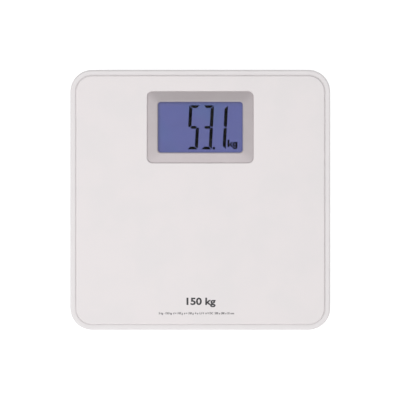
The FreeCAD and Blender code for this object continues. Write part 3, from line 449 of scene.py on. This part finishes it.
@dataclass(frozen=True)
class CellSleeve(Finish):
    """Plain sleeve of a battery cell: a dark body, a copper band at the nub's end and bare steel ends."""

    body_colour: Colour
    band_colour: Colour
    low_x: float
    high_x: float
    nub_side: int

    def paint(self, sheet: Sheet, shader: bpy.types.Node, place: bpy.types.NodeSocket) -> None:
        """Chooses the colour by the distance along the cell."""
        x, _, _ = sheet.split(place)
        along = sheet.remap(x, self.low_x, self.high_x, 0.0, 1.0)
        if self.nub_side < 0:
            along = sheet.maths("SUBTRACT", 1.0, along)
        band = sheet.remap(along, 0.80, 0.81, 0.0, 1.0)
        steel = sheet.maths("MAXIMUM", sheet.remap(along, 0.978, 0.982, 0.0, 1.0),
                            sheet.remap(along, 0.002, 0.004, 1.0, 0.0))
        colour = sheet.blend(band, self.body_colour, self.band_colour)
        colour = sheet.blend(steel, colour, (0.66, 0.65, 0.62))
        scuff = sheet.noise(place, 400.0, 4.0)
        sheet.feed(shader.inputs["Base Color"], sheet.blend(sheet.remap(scuff, 0.6, 0.75, 0.0, 0.15), colour,
                                                            (0.5, 0.5, 0.5)))
        sheet.feed(shader.inputs["Metallic"], sheet.maths("MAXIMUM", steel, sheet.maths("MULTIPLY", band, 0.8)))
        sheet.feed(shader.inputs["Roughness"], sheet.remap(scuff, 0.3, 0.7, 0.22, 0.36))


@dataclass(frozen=True)
class FoamCells(Finish):
    """Open-celled foam strip."""

    colour: Colour

    def paint(self, sheet: Sheet, shader: bpy.types.Node, place: bpy.types.NodeSocket) -> None:
        """Joins a cell pattern to colour and bump, with painted shade darkening the pits of the cells."""
        cells = sheet.add("ShaderNodeTexVoronoi", {"Vector": place, "Scale": 1400.0})
        depth = cells.outputs["Distance"]
        # painted shade: the colour is darker in the pits of the cells
        pit_shade = tuple(0.35 * part for part in self.colour)
        sheet.feed(shader.inputs["Base Color"], sheet.blend(sheet.remap(depth, 0.2, 0.7, 0.0, 1.0), pit_shade, self.colour))
        bump = sheet.add("ShaderNodeBump", {"Height": depth, "Distance": 0.0003})
        sheet.feed(shader.inputs["Normal"], bump.outputs[0])
        sheet.feed(shader.inputs["Roughness"], sheet.remap(depth, 0.0, 1.0, 0.95, 0.8))


# ------------------------------------------------------------------ pieces
def dress(node: str, finish: Finish) -> None:
    """Gives a node of the frame its finish.

    Args:
        node: the node's name.
        finish: the finish that it gets.
    """
    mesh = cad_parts[node].data
    mesh.materials.clear()
    mesh.materials.append(finish.material())
    LOG.info("dressed %s in %s", node, finish.name)


def keep(name: str, mesh: bpy.types.Mesh, body: str, finish: Finish) -> bpy.types.Object:
    """Makes a finished mesh a piece of the scale.

    Args:
        name: the piece's name.
        mesh: its mesh, already in place.
        body: the body that it rides on.
        finish: its finish.

    Returns:
        The new object.
    """
    mesh.materials.clear()
    mesh.materials.append(finish.material())
    piece = bpy.data.objects.new(name, mesh)
    bpy.context.scene.collection.objects.link(piece)
    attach(piece, body)
    LOG.info("built %s: %d faces", name, len(mesh.polygons))
    return piece


def taken_from(holder: bpy.types.Object) -> bpy.types.Mesh:
    """Turns an object as evaluated into a plain mesh, and removes the object."""
    bpy.context.scene.collection.objects.link(holder)
    graph = bpy.context.evaluated_depsgraph_get()
    mesh = bpy.data.meshes.new_from_object(holder.evaluated_get(graph))
    holder.modifiers.clear()
    bpy.data.objects.remove(holder)
    return mesh


def closed(mesh: bpy.types.Mesh, place: Matrix) -> bpy.types.Mesh:
    """Moves a mesh to its place, joins its doubled points and turns its faces outwards.

    Args:
        mesh: the mesh to mend.
        place: where it goes.

    Returns:
        The same mesh.
    """
    work = bmesh.new()
    work.from_mesh(mesh)
    work.transform(place)
    bmesh.ops.remove_doubles(work, verts=work.verts, dist=1e-7)
    bmesh.ops.recalc_face_normals(work, faces=work.faces)
    work.to_mesh(mesh)
    work.free()
    return mesh


@dataclass(frozen=True)
class Lettering:
    """A line of plain figures, printed or raised, fitted to a width and a height."""

    words: str
    width: float
    height: float
    thickness: float
    weight: float = 0.0

    def mesh(self, centre: Vector, facing_down: bool = False) -> bpy.types.Mesh:
        """Builds the closed letters.

        Args:
            centre: middle of the line, on the surface that carries it.
            facing_down: whether the line is read from below.

        Returns:
            The mesh, in place, its inner face on the carrying surface.
        """
        curve = bpy.data.curves.new("lettering", "FONT")
        curve.body = self.words
        curve.offset = self.weight
        curve.extrude = 0.05
        curve.resolution_u = 6
        mesh = taken_from(bpy.data.objects.new("lettering", curve))
        points = [vertex.co for vertex in mesh.vertices]
        low = Vector(min(p[i] for p in points) for i in range(3))
        high = Vector(max(p[i] for p in points) for i in range(3))
        size = high - low
        scale = Vector((self.width / size.x, self.height / size.y, self.thickness / size.z))
        middle = Vector(((low.x + high.x) / 2, (low.y + high.y) / 2, low.z))
        fit = Matrix.Diagonal((*scale, 1.0)) @ Matrix.Translation(-middle)
        turn = Matrix.Rotation(math.pi, 4, "Y") if facing_down else Matrix.Identity(4)
        return closed(mesh, Matrix.Translation(centre) @ turn @ fit)


def slab(outline: list[tuple[float, float]], z_low: float, z_high: float, bevel: float = 0.0) -> bpy.types.Mesh:
    """Raises a plan outline between two heights.

    Args:
        outline: the corners, in order.
        z_low: height of the lower face.
        z_high: height of the upper face.
        bevel: width of the bevel on its edges.

    Returns:
        The closed mesh.
    """
    work = bmesh.new()
    face = work.faces.new([work.verts.new((x, y, z_low)) for x, y in outline])
    grown = bmesh.ops.extrude_face_region(work, geom=[face])["geom"]
    top = [item for item in grown if isinstance(item, bmesh.types.BMVert)]
    bmesh.ops.translate(work, verts=top, vec=(0, 0, z_high - z_low))
    if bevel:
        bmesh.ops.bevel(work, geom=list(work.edges), offset=bevel, segments=2, affect="EDGES", profile=0.5)
    mesh = bpy.data.meshes.new("slab")
    work.to_mesh(mesh)
    work.free()
    return closed(mesh, Matrix.Identity(4))


# ------------------------------------------------------------------ what repeats
class Repeater:
    """A geometry node tree with named inputs that repeats one small shape."""

    name = ""
    sockets_in: dict[str, str] = {}

    def wire(self, sheet: Sheet, given: Any) -> bpy.types.NodeSocket:
        """Fills the tree and returns the repeated geometry."""
        raise NotImplementedError

    def tree(self) -> bpy.types.NodeTree:
        """Returns the tree, made on first use. It ends in Realize Instances and Set Material."""
        made = bpy.data.node_groups.get(self.name)
        if made is None:
            made = bpy.data.node_groups.new(self.name, "GeometryNodeTree")
            for name, kind in {**self.sockets_in, "Finish": "Material"}.items():
                made.interface.new_socket(name, in_out="INPUT", socket_type=f"NodeSocket{kind}")
            made.interface.new_socket("Geometry", in_out="OUTPUT", socket_type="NodeSocketGeometry")
            sheet = Sheet(made)
            given = sheet.add("NodeGroupInput").outputs
            real = sheet.add("GeometryNodeRealizeInstances", {"Geometry": self.wire(sheet, given)})
            inputs = {"Geometry": real.outputs[0], "Material": given["Finish"]}
            dressed = sheet.add("GeometryNodeSetMaterial", inputs)
            sheet.add("NodeGroupOutput", {"Geometry": dressed.outputs[0]})
        return made

    def mesh(self, finish: Finish, **values: Any) -> bpy.types.Mesh:
        """Runs the tree once.

        Args:
            finish: the finish that the tree sets.
            **values: the tree's inputs, with underscores for the spaces in their names.

        Returns:
            The repeated shapes as one plain mesh.
        """
        holder = bpy.data.objects.new(self.name, bpy.data.meshes.new(self.name))
        modifier = holder.modifiers.new("repeat", "NODES")
        modifier.node_group = self.tree()
        wanted = {name.replace("_", " "): value for name, value in values.items()} | {"Finish": finish.material()}
        for item in modifier.node_group.interface.items_tree:
            if item.item_type == "SOCKET" and item.in_out == "INPUT":
                modifier[item.identifier] = wanted[item.name]
        return closed(taken_from(holder), Matrix.Identity(4))


class RibRings(Repeater):
    """Two rings of short radial ribs, round one centre."""

    name = "rib_rings"
    sockets_in = {"Centre": "Vector", "Inner Radius": "Float", "Outer Radius": "Float", "Rib Length": "Float",
                  "Rib Radius": "Float", "Inner Count": "Int", "Outer Count": "Int"}

    def ring(self, sheet: Sheet, rib: Any, radius: Any, count: Any) -> bpy.types.NodeSocket:
        """Sets one rib on each point of a circle, turned to point outwards.

        Args:
            sheet: the tree's sheet.
            rib: the rib's geometry.
            radius: radius of the ring.
            count: number of ribs.

        Returns:
            The ring's instances.
        """
        circle = sheet.add("GeometryNodeMeshCircle", {"Vertices": count, "Radius": radius})
        index = sheet.add("GeometryNodeInputIndex").outputs[0]
        angle = sheet.maths("DIVIDE", sheet.maths("MULTIPLY", index, 2 * math.pi), count)
        euler = sheet.add("ShaderNodeCombineXYZ", {"Y": math.pi / 2, "Z": angle})
        turn = sheet.add("FunctionNodeEulerToRotation", {0: euler.outputs[0]})
        inputs = {"Points": circle.outputs[0], "Instance": rib, "Rotation": turn.outputs[0]}
        return sheet.add("GeometryNodeInstanceOnPoints", inputs).outputs[0]

    def wire(self, sheet: Sheet, given: Any) -> bpy.types.NodeSocket:
        """Builds one rib and sets it round both rings."""
        rib = sheet.add("GeometryNodeMeshCylinder", {"Vertices": 8, "Radius": given["Rib Radius"],
                                                     "Depth": given["Rib Length"]}).outputs["Mesh"]
        both = sheet.add("GeometryNodeJoinGeometry")
        for side in ("Inner", "Outer"):
            ring = self.ring(sheet, rib, given[f"{side} Radius"], given[f"{side} Count"])
            sheet.tree.links.new(ring, both.inputs[0])
        moved = sheet.add("GeometryNodeTransform", {"Geometry": both.outputs[0], "Translation": given["Centre"]})
        return moved.outputs[0]


class BarRow(Repeater):
    """A straight row of equal round bars, each lying along X before it is turned."""

    name = "bar_row"
    sockets_in = {"Start": "Vector", "Step": "Vector", "Count": "Int", "Bar Size": "Vector", "Turn": "Vector"}

    def wire(self, sheet: Sheet, given: Any) -> bpy.types.NodeSocket:
        """Shapes one bar by its size and sets it on each point of the row."""
        unit = sheet.add("GeometryNodeMeshCylinder", {"Vertices": 12, "Radius": 0.5, "Depth": 1.0})
        along_x = sheet.add("FunctionNodeEulerToRotation", {0: (0.0, math.pi / 2, 0.0)})
        laid = sheet.add("GeometryNodeTransform", {"Geometry": unit.outputs["Mesh"],
                                                   "Rotation": along_x.outputs[0]})
        sized = sheet.add("GeometryNodeTransform", {"Geometry": laid.outputs[0], "Scale": given["Bar Size"]})
        turn = sheet.add("FunctionNodeEulerToRotation", {0: given["Turn"]})
        row = sheet.add("GeometryNodeMeshLine", {"Count": given["Count"], "Start Location": given["Start"],
                                                 "Offset": given["Step"]}, mode="OFFSET")
        inputs = {"Points": row.outputs[0], "Instance": sized.outputs[0], "Rotation": turn.outputs[0]}
        return sheet.add("GeometryNodeInstanceOnPoints", inputs).outputs[0]


# ------------------------------------------------------------------ sub-assemblies
WHITE = (0.835, 0.790, 0.795)
INK = Moulding("ink_grey", "plate_white", (0.045, 0.045, 0.050), (0.060, 0.058, 0.060), roughness=0.5, relief=1e-6)


@dataclass
class Case:
    """Platform plate, top shell, bottom cover, their screws and the printing on them."""

    mark_width: float = 31.3 * MM
    mark_height: float = 10.3 * MM
    mark_middle: Vector = Vector((0.85, -110.2, 0.0)) * MM
    line_width: float = 81.0 * MM
    line_height: float = 3.0 * MM
    line_middle: Vector = Vector((-4.1, -122.2, 0.0)) * MM
    ink_thickness: float = 0.012 * MM
    border_inset: float = 1.5 * MM
    border_width: float = 0.5 * MM

    def dress(self) -> None:
        """Gives the case's nodes their finishes."""
        plate = Moulding("plate_moulding", "plate_white", WHITE, (0.800, 0.770, 0.775), roughness=0.38,
                         patches=26.0, mottle=0.55)
        shell = Moulding("shell_moulding", "shell_white", (0.815, 0.785, 0.790), (0.790, 0.755, 0.762),
                         roughness=0.36, patches=30.0, mottle=0.4)
        cover = Moulding("cover_moulding", "cover_white", (0.70, 0.70, 0.69), (0.66, 0.65, 0.63), roughness=0.6,
                         grains=1200.0, relief=0.00004, dust=0.15)
        label = Metal("label_film", "label_silver", (0.62, 0.62, 0.62), (0.70, 0.70, 0.70), roughness=0.42,
                      metallic=0.6, wear=0.1)
        screw = Metal("screw_plating", "screw_zinc", (0.60, 0.60, 0.57), (0.75, 0.74, 0.72), roughness=0.34)
        dress("platform_plate", plate)
        dress("top_shell", shell)
        dress("bottom_cover", cover)
        dress("rating_plate", label)
        dress("case_screws", screw)

    def build_printing(self) -> None:
        """Prints the largest weight and a small line of figures on the plate."""
        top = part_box("platform_plate")[1].z
        mark = Lettering("150 kg", self.mark_width, self.mark_height, self.ink_thickness, weight=0.034)
        keep("capacity_mark", mark.mesh(self.mark_middle + Vector((0, 0, top))), Body.HOUSING.value, INK)
        line = Lettering("5 kg - 150 kg  d = 100 g  e = 100 g  4 x 1.5 V  6 V DC  280 x 280 x 35 mm", self.line_width,
                         self.line_height, self.ink_thickness, weight=0.026)
        keep("data_line", line.mesh(self.line_middle + Vector((0, 0, top))), Body.HOUSING.value, INK)

    def build_label_border(self) -> None:
        """Prints a plain border line on the blank rating plate, as four thin strips."""
        low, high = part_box("rating_plate")
        x, y = high.x - self.border_inset, (high.y - low.y) / 2 - self.border_inset
        middle = (low.y + high.y) / 2
        row = BarRow()
        strips = []
        for turn, length, reach in ((0.0, 2 * x, y), (math.pi / 2, 2 * y, x)):
            start = Vector((0.0, middle - reach, low.z)) if turn == 0.0 else Vector((-reach, middle, low.z))
            step = Vector((0.0, 2 * reach, 0.0)) if turn == 0.0 else Vector((2 * reach, 0.0, 0.0))
            size = Vector((length, self.border_width, 4 * self.ink_thickness))
            strips.append(row.mesh(INK, Start=start, Step=step, Count=2, Bar_Size=size,
                                   Turn=Vector((0.0, 0.0, turn))))
        for side, mesh in zip(("long", "short"), strips):
            keep(f"label_border_{side}", mesh, Body.HOUSING.value, INK)

    def build(self) -> None:
        """Dresses and prints the case."""
        self.dress()
        self.build_printing()
        self.build_label_border()


@dataclass
class Display:
    """Bezel, window and the liquid crystal stack with its backlight."""

    # widths over which the glow dims at each edge: partly backlight falloff, partly painted shadow of the recess under
    # the bezel
    far_fall: float = 3.5 * MM
    left_fall: float = 3.5 * MM
    right_fall: float = 3.0 * MM
    near_fall: float = 2.5 * MM
    glow: Colour = (0.155, 0.195, 0.440)
    edge_glow_with_painted_shade: Colour = (0.140, 0.145, 0.290)
    window_ledge: float = 2.0 * MM

    def dress(self) -> None:
        """Gives the display's nodes their finishes."""
        low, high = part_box("display_window")
        ledge = self.window_ledge
        backlit = BacklitFilm("backlit_film", "polarizer_blue", (0.02, 0.025, 0.06), self.glow, self.edge_glow_with_painted_shade, 1.0,
                              (low.x + ledge, low.y + ledge), (high.x - ledge, high.y - ledge),
                              (self.left_fall, self.right_fall, self.near_fall, self.far_fall))
        dress("display_bezel", Metal("bezel_paint", "bezel_silver", (0.635, 0.578, 0.592), (0.71, 0.67, 0.68),
                                     roughness=0.40, spread=0.06, lines=900.0, relief=0.000002, metallic=0.75,
                                     wear=0.2))
        dress("display_window", ClearSheet("window_pane", "window_clear", (0.985, 0.99, 1.0), 1.0,
                                           transmission=1.0))
        dress("window_tape", Moulding("tape_foam", "tape_black", (0.02, 0.02, 0.02), (0.03, 0.03, 0.03), 0.8))
        dress("lcd_front_polarizer", ClearSheet("front_film", "polarizer_grey", (0.02, 0.02, 0.03), 0.06))
        dress("lcd_front_glass", ClearSheet("cell_glass", "lcd_glass", (0.10, 0.12, 0.13), 0.02))
        dress("lcd_rear_glass", ClearSheet("cell_glass", "lcd_glass", (0.10, 0.12, 0.13), 0.02))
        dress("lcd_segments", Moulding("dark_crystal", "lcd_dark", (0.010, 0.010, 0.009), (0.016, 0.015, 0.012),
                                       roughness=0.5, relief=1e-6, patches=120.0, specular=0.1))
        dress("lcd_rear_polarizer", backlit)
        dress("backlight_guide", ClearSheet("guide_block", "guide_acrylic", (0.90, 0.94, 1.0), 0.5, 0.15))
        dress("backlight_reflector", Moulding("reflector_film", "reflector_white", (0.85, 0.85, 0.86),
                                              (0.80, 0.80, 0.82), roughness=0.25))
        dress("lcd_holder", Moulding("holder_plastic", "holder_white", (0.78, 0.78, 0.76), (0.72, 0.72, 0.70)))
        dress("zebra_strips", Moulding("zebra_silicone", "zebra_rubber", (0.50, 0.30, 0.30), (0.10, 0.08, 0.08),
                                       patches=900.0, mottle=0.9))

    def build(self) -> None:
        """Dresses the display."""
        self.dress()


@dataclass
class Foot:
    """One foot: its cup, its rubber pad with tread ribs, and its elastic thrust pad."""

    number: int
    inner_groove: float = 9.6 * MM
    outer_groove: float = 14.6 * MM
    groove_depth: float = 0.6 * MM
    rib_length: float = 1.16 * MM
    rib_radius: float = 0.28 * MM
    inner_count: int = 24
    outer_count: int = 36

    def build(self) -> None:
        """Dresses the foot's nodes and sets the ribs in its tread grooves."""
        cup = Moulding("foot_plastic", "foot_grey", (0.60, 0.60, 0.59), (0.54, 0.54, 0.52), roughness=0.5,
                       relief=0.00002, dust=0.2)
        rubber = Moulding("foot_tread", "foot_rubber", (0.085, 0.085, 0.088), (0.11, 0.11, 0.11), roughness=0.72,
                          grains=1500.0, relief=0.00004, dust=0.35, specular=0.35)
        thrust = Moulding("thrust_silicone", "thrust_rubber", (0.24, 0.24, 0.25), (0.30, 0.30, 0.30),
                          roughness=0.6)
        dress(f"foot_cup_{self.number}", cup)
        dress(f"foot_pad_{self.number}", rubber)
        dress(f"thrust_pad_{self.number}", thrust)
        low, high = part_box(f"foot_pad_{self.number}")
        centre = Vector(((low.x + high.x) / 2, (low.y + high.y) / 2, low.z + self.groove_depth))
        ribs = RibRings().mesh(rubber, Centre=centre, Inner_Radius=self.inner_groove,
                               Outer_Radius=self.outer_groove, Rib_Length=self.rib_length,
                               Rib_Radius=self.rib_radius, Inner_Count=self.inner_count,
                               Outer_Count=self.outer_count)
        keep(f"tread_ribs_{self.number}", ribs, f"foot_{self.number}", rubber)


@dataclass
class LoadCells:
    """The four stamped load cells with their gauges, retainers, screws and wires."""

    count: int = 4

    def build(self) -> None:
        """Dresses the load cells and what holds and joins them."""
        steel = Metal("cell_plating", "cell_steel", (0.56, 0.56, 0.54), (0.72, 0.71, 0.70), roughness=0.36)
        retainer = Moulding("retainer_plastic", "retainer_black", (0.035, 0.035, 0.036), (0.05, 0.05, 0.05))
        wire = Moulding("wire_sleeve", "wire_red", (0.42, 0.02, 0.02), (0.34, 0.02, 0.02), roughness=0.35)
        for i in range(1, self.count + 1):
            dress(f"load_cell_{i}", steel)
            dress(f"cell_retainer_{i}", retainer)
            dress(f"cell_wires_{i}", wire)
        dress("strain_gauges", Moulding("gauge_silicone", "gauge_sealant", (0.74, 0.74, 0.70), (0.66, 0.66, 0.62),
                                        roughness=0.3, relief=0.0001, grains=500.0))
        dress("retainer_screws", Metal("small_screw_plating", "screw_zinc", (0.58, 0.58, 0.55),
                                       (0.75, 0.74, 0.72)))


@dataclass
class BatteryBay:
    """Door, foam, cells, springs, contacts and leads, with the grip ridges and the mark on the door."""

    ridge_count: int = 6
    ridge_size: Vector = Vector((24.0, 0.9, 0.9)) * MM
    ridge_step: Vector = Vector((0.0, 2.2, 0.0)) * MM
    first_ridge: float = 12.0 * MM
    arrow_width: float = 7.0 * MM
    arrow_length: float = 5.0 * MM
    arrow_height: float = 0.4 * MM

    def build_ridges(self, door: Finish) -> None:
        """Sets the grip ridges on the door's outside, near its latch.

        Args:
            door: the door's finish.
        """
        low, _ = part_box("battery_cover")
        start = Vector((0.0, low.y + self.first_ridge, low.z))
        mesh = BarRow().mesh(door, Start=start, Step=self.ridge_step, Count=self.ridge_count,
                             Bar_Size=self.ridge_size, Turn=Vector((0.0, 0.0, 0.0)))
        keep("door_grip_ridges", mesh, Body.DOOR.value, door)

    def build_arrow(self, door: Finish) -> None:
        """Raises an arrow on the door that points to its latch.

        Args:
            door: the door's finish.
        """
        low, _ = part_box("battery_cover")
        back = low.y + self.first_ridge + (self.ridge_count + 2) * self.ridge_step.y
        tip = (0.0, back)
        tail = back + self.arrow_length
        half = self.arrow_width / 2
        outline = [tip, (half, tail), (0.0, tail - self.arrow_length / 3), (-half, tail)]
        mesh = slab(outline, low.z - self.arrow_height, low.z + self.arrow_height, 0.1 * MM)
        keep("door_arrow", mesh, Body.DOOR.value, door)

    def dress_cells(self) -> None:
        """Gives each cell a sleeve whose band is at its nub's end."""
        for i in range(1, 5):
            low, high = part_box(f"battery_{i}")
            nub_side = 1 if high.x + low.x > 0 else -1
            dress(f"battery_{i}", CellSleeve(f"cell_sleeve_{i}", "battery_sleeve", (0.018, 0.020, 0.024),
                                             (0.55, 0.26, 0.10), low.x, high.x, nub_side))

    def build(self) -> None:
        """Dresses the bay and builds the door's ridges and arrow."""
        door = Moulding("door_moulding", "door_white", (0.69, 0.69, 0.68), (0.66, 0.65, 0.63), roughness=0.6,
                        grains=1200.0, relief=0.00004, dust=0.15)
        spring = Metal("spring_plating", "contact_nickel", (0.66, 0.64, 0.58), (0.80, 0.78, 0.74), roughness=0.25)
        dress("battery_cover", door)
        dress("door_foam", FoamCells("foam_strip", "foam_grey", (0.10, 0.10, 0.11)))
        dress("battery_contacts", spring)
        dress("battery_springs", spring)
        dress("battery_leads", Moulding("lead_sleeve", "lead_black", (0.02, 0.02, 0.02), (0.035, 0.035, 0.035)))
        self.dress_cells()
        self.build_ridges(door)
        self.build_arrow(door)


@dataclass
class Electronics:
    """Main board, its components, the unit switch and the unit button."""

    pin_count: int = 8
    pin_pitch: float = 1.27 * MM
    pin_size: Vector = Vector((8.4, 0.4, 0.25)) * MM
    converter: tuple[float, float] = (18.0 * MM, 6.0 * MM)
    letters_width: float = 9.0 * MM
    letters_height: float = 3.0 * MM

    def dress(self) -> None:
        """Gives the board's nodes their finishes."""
        dress("main_board", SolderMask("board_mask", "board_green", (0.010, 0.115, 0.040), (0.018, 0.19, 0.07)))
        dress("backlight_board", SolderMask("led_board_mask", "led_board", (0.78, 0.78, 0.74),
                                            (0.70, 0.70, 0.66)))
        dress("board_components", Moulding("component_epoxy", "component_black", (0.022, 0.022, 0.024),
                                           (0.035, 0.035, 0.035), roughness=0.5))
        dress("board_screws", Metal("board_screw_plating", "screw_zinc", (0.60, 0.60, 0.57),
                                    (0.75, 0.74, 0.72)))
        dress("unit_switch", Moulding("switch_nylon", "switch_black", (0.03, 0.03, 0.03), (0.045, 0.045, 0.045)))
        dress("switch_plunger", Moulding("plunger_nylon", "plunger_white", (0.76, 0.76, 0.74),
                                         (0.70, 0.70, 0.68)))
        dress("unit_button", Moulding("button_plastic", "button_grey", (0.30, 0.31, 0.32), (0.34, 0.35, 0.36),
                                      roughness=0.45))

    def build_pins(self) -> None:
        """Sets the converter's pins across its underside, on the board."""
        low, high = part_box("main_board")
        middle = (low.y + high.y) / 2
        start = Vector((self.converter[0] - (self.pin_count - 1) / 2 * self.pin_pitch,
                        middle + self.converter[1], low.z - self.pin_size.z / 2))
        tin = Metal("pin_tin", "contact_nickel", (0.70, 0.70, 0.68), (0.82, 0.82, 0.80), roughness=0.25)
        mesh = BarRow().mesh(tin, Start=start, Step=Vector((self.pin_pitch, 0.0, 0.0)), Count=self.pin_count,
                             Bar_Size=self.pin_size, Turn=Vector((0.0, 0.0, math.pi / 2)))
        keep("converter_pins", mesh, Body.HOUSING.value, tin)

    def build_unit_letters(self) -> None:
        """Raises the two units' letters beside the button, on the underside."""
        low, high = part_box("unit_button")
        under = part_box("bottom_cover")[0].z
        raised = Moulding("raised_letters", "cover_white", (0.70, 0.70, 0.69), (0.66, 0.65, 0.63), roughness=0.6)
        centre = Vector(((low.x + high.x) / 2, high.y + 4.5 * MM, under))
        letters = Lettering("kg / lb", self.letters_width, self.letters_height, 0.3 * MM)
        keep("unit_letters", letters.mesh(centre, facing_down=True), Body.HOUSING.value, raised)

    def build(self) -> None:
        """Dresses the electronics and builds pins and letters."""
        self.dress()
        self.build_pins()
        self.build_unit_letters()


# ------------------------------------------------------------------ studio
@dataclass
class Studio:
    """Pale floor, soft sky, two soft lights and the overhead camera."""

    floor_radius: float = 30.0
    floor_colour: Colour = (0.62, 0.62, 0.62)
    floor_glow: float = 0.72
    sky: float = 0.97
    horizon: float = 0.38
    overhead_gap: float = 0.08
    gap_lean: Vector = Vector((0.0, 0.0654, 0.9979))
    gap_inner: float = 4.5
    gap_outer: float = 6.0
    sky_slope: Vector = Vector((0.25, 2.1, 0.0))
    sky_least: float = 0.15
    horizon_top: float = 0.45
    key_power: float = 5.0
    key_size: float = 0.9
    key_place: Vector = Vector((-1.30, -0.35, 1.35))
    top_power: float = 1.1
    top_size: float = 0.5
    top_height: float = 0.9
    camera_place: Vector = Vector((-0.00030, -0.00011, 1.2295))
    lens: float = 100.0

    def build_floor(self) -> None:
        """Lays the floor: a large round sheet that stays white."""
        work = bmesh.new()
        bmesh.ops.create_circle(work, cap_ends=True, segments=96, radius=self.floor_radius)
        mesh = bpy.data.meshes.new("floor")
        work.to_mesh(mesh)
        work.free()
        finish = bpy.data.materials.new("floor_sweep")
        finish.use_nodes = True
        finish.node_tree.nodes.clear()
        sheet = Sheet(finish.node_tree)
        place = sheet.add("ShaderNodeTexCoord").outputs["Object"]
        shade = sheet.remap(sheet.noise(place, 2.0, 2.0), 0.3, 0.7, 0.98, 1.0)
        colour = sheet.blend(1.0, self.floor_colour, shade, "MULTIPLY")
        diffuse = sheet.add("ShaderNodeBsdfDiffuse", {"Color": colour})
        strength = sheet.maths("MULTIPLY", sheet.add("ShaderNodeLightPath").outputs["Is Camera Ray"],
                               self.floor_glow)
        glow = sheet.add("ShaderNodeEmission", {"Strength": strength})
        both = sheet.add("ShaderNodeAddShader", {0: diffuse.outputs[0], 1: glow.outputs[0]})
        sheet.add("ShaderNodeOutputMaterial", {"Surface": both.outputs[0]})
        mesh.materials.append(finish)
        floor = bpy.data.objects.new("floor", mesh)
        bpy.context.scene.collection.objects.link(floor)

    def build_sky(self) -> None:
        """Sets a soft sky, dimmer at the horizon and towards the back, with a dark patch overhead."""
        world = bpy.data.worlds.new("studio_sky")
        bpy.context.scene.world = world
        world.use_nodes = True
        world.node_tree.nodes.clear()
        sheet = Sheet(world.node_tree)
        way = sheet.add("ShaderNodeTexCoord").outputs["Generated"]
        _, _, up = sheet.split(way)
        rising = sheet.remap(up, 0.0, self.horizon_top, self.horizon, self.sky)
        lean = sheet.add("ShaderNodeVectorMath", {0: way, 1: self.gap_lean}, operation="DOT_PRODUCT")
        rim, core = (math.cos(math.radians(angle)) for angle in (self.gap_outer, self.gap_inner))
        opening = sheet.remap(lean.outputs["Value"], rim, core, 1.0, self.overhead_gap)
        slope = sheet.add("ShaderNodeVectorMath", {0: way, 1: self.sky_slope}, operation="DOT_PRODUCT")
        nearness = sheet.maths("MULTIPLY", up, up)
        fall = sheet.maths("MULTIPLY", slope.outputs["Value"], nearness)
        level = sheet.maths("MAXIMUM", sheet.maths("SUBTRACT", 1.0, fall), self.sky_least)
        light = sheet.maths("MULTIPLY", sheet.maths("MULTIPLY", rising, level), opening)
        seen = sheet.add("ShaderNodeLightPath").outputs["Is Camera Ray"]
        strength = sheet.maths("MAXIMUM", light, seen)
        background = sheet.add("ShaderNodeBackground", {"Strength": strength})
        sheet.add("ShaderNodeOutputWorld", {"Surface": background.outputs[0]})

    def hang(self, name: str, size: float, power: float, place: Vector) -> bpy.types.Object:
        """Hangs one round soft light, aimed at the scale.

        Args:
            name: The light's name.
            size: Its diameter in metres.
            power: Its power in watts.
            place: Where it hangs.

        Returns:
            The light's object.
        """
        light = bpy.data.lights.new(name, "AREA")
        light.shape = "DISK"
        light.size = size
        light.energy = power
        lamp = bpy.data.objects.new(name, light)
        lamp.location = place
        lamp.rotation_euler = (-place).to_track_quat("-Z", "Y").to_euler()
        bpy.context.scene.collection.objects.link(lamp)
        return lamp

    def build_lights(self) -> None:
        """Hangs the key light at the left and a fill light overhead, which no reflection shows."""
        self.hang("key_light", self.key_size, self.key_power, self.key_place)
        top = self.hang("top_light", self.top_size, self.top_power, Vector((0.0, 0.0, self.top_height)))
        top.visible_camera = False
        top.visible_glossy = False
        top.visible_transmission = False

    def build_camera(self) -> None:
        """Hangs the camera straight above the plate, its top towards +Y."""
        lens = bpy.data.cameras.new("overhead_camera")
        lens.lens = self.lens
        lens.clip_end = 200.0
        camera = bpy.data.objects.new("overhead_camera", lens)
        camera.location = self.camera_place
        bpy.context.scene.collection.objects.link(camera)
        bpy.context.scene.camera = camera
        bpy.context.scene.view_settings.view_transform = "Standard"

    def build(self) -> None:
        """Builds floor, sky, lights and camera."""
        self.build_floor()
        self.build_sky()
        self.build_lights()
        self.build_camera()
        LOG.info("built the studio")


def main() -> None:
    """Builds the sub-assemblies in order, then the studio."""
    logging.basicConfig(level=logging.INFO, format="%(name)s: %(message)s")
    parts = [Case(), Display(), *(Foot(number) for number in range(1, 5)), LoadCells(), BatteryBay(), Electronics()]
    for part in parts:
        part.build()
        LOG.info("finished %s", type(part).__name__)
    Studio().build()


if __name__ == "__main__":
    main()
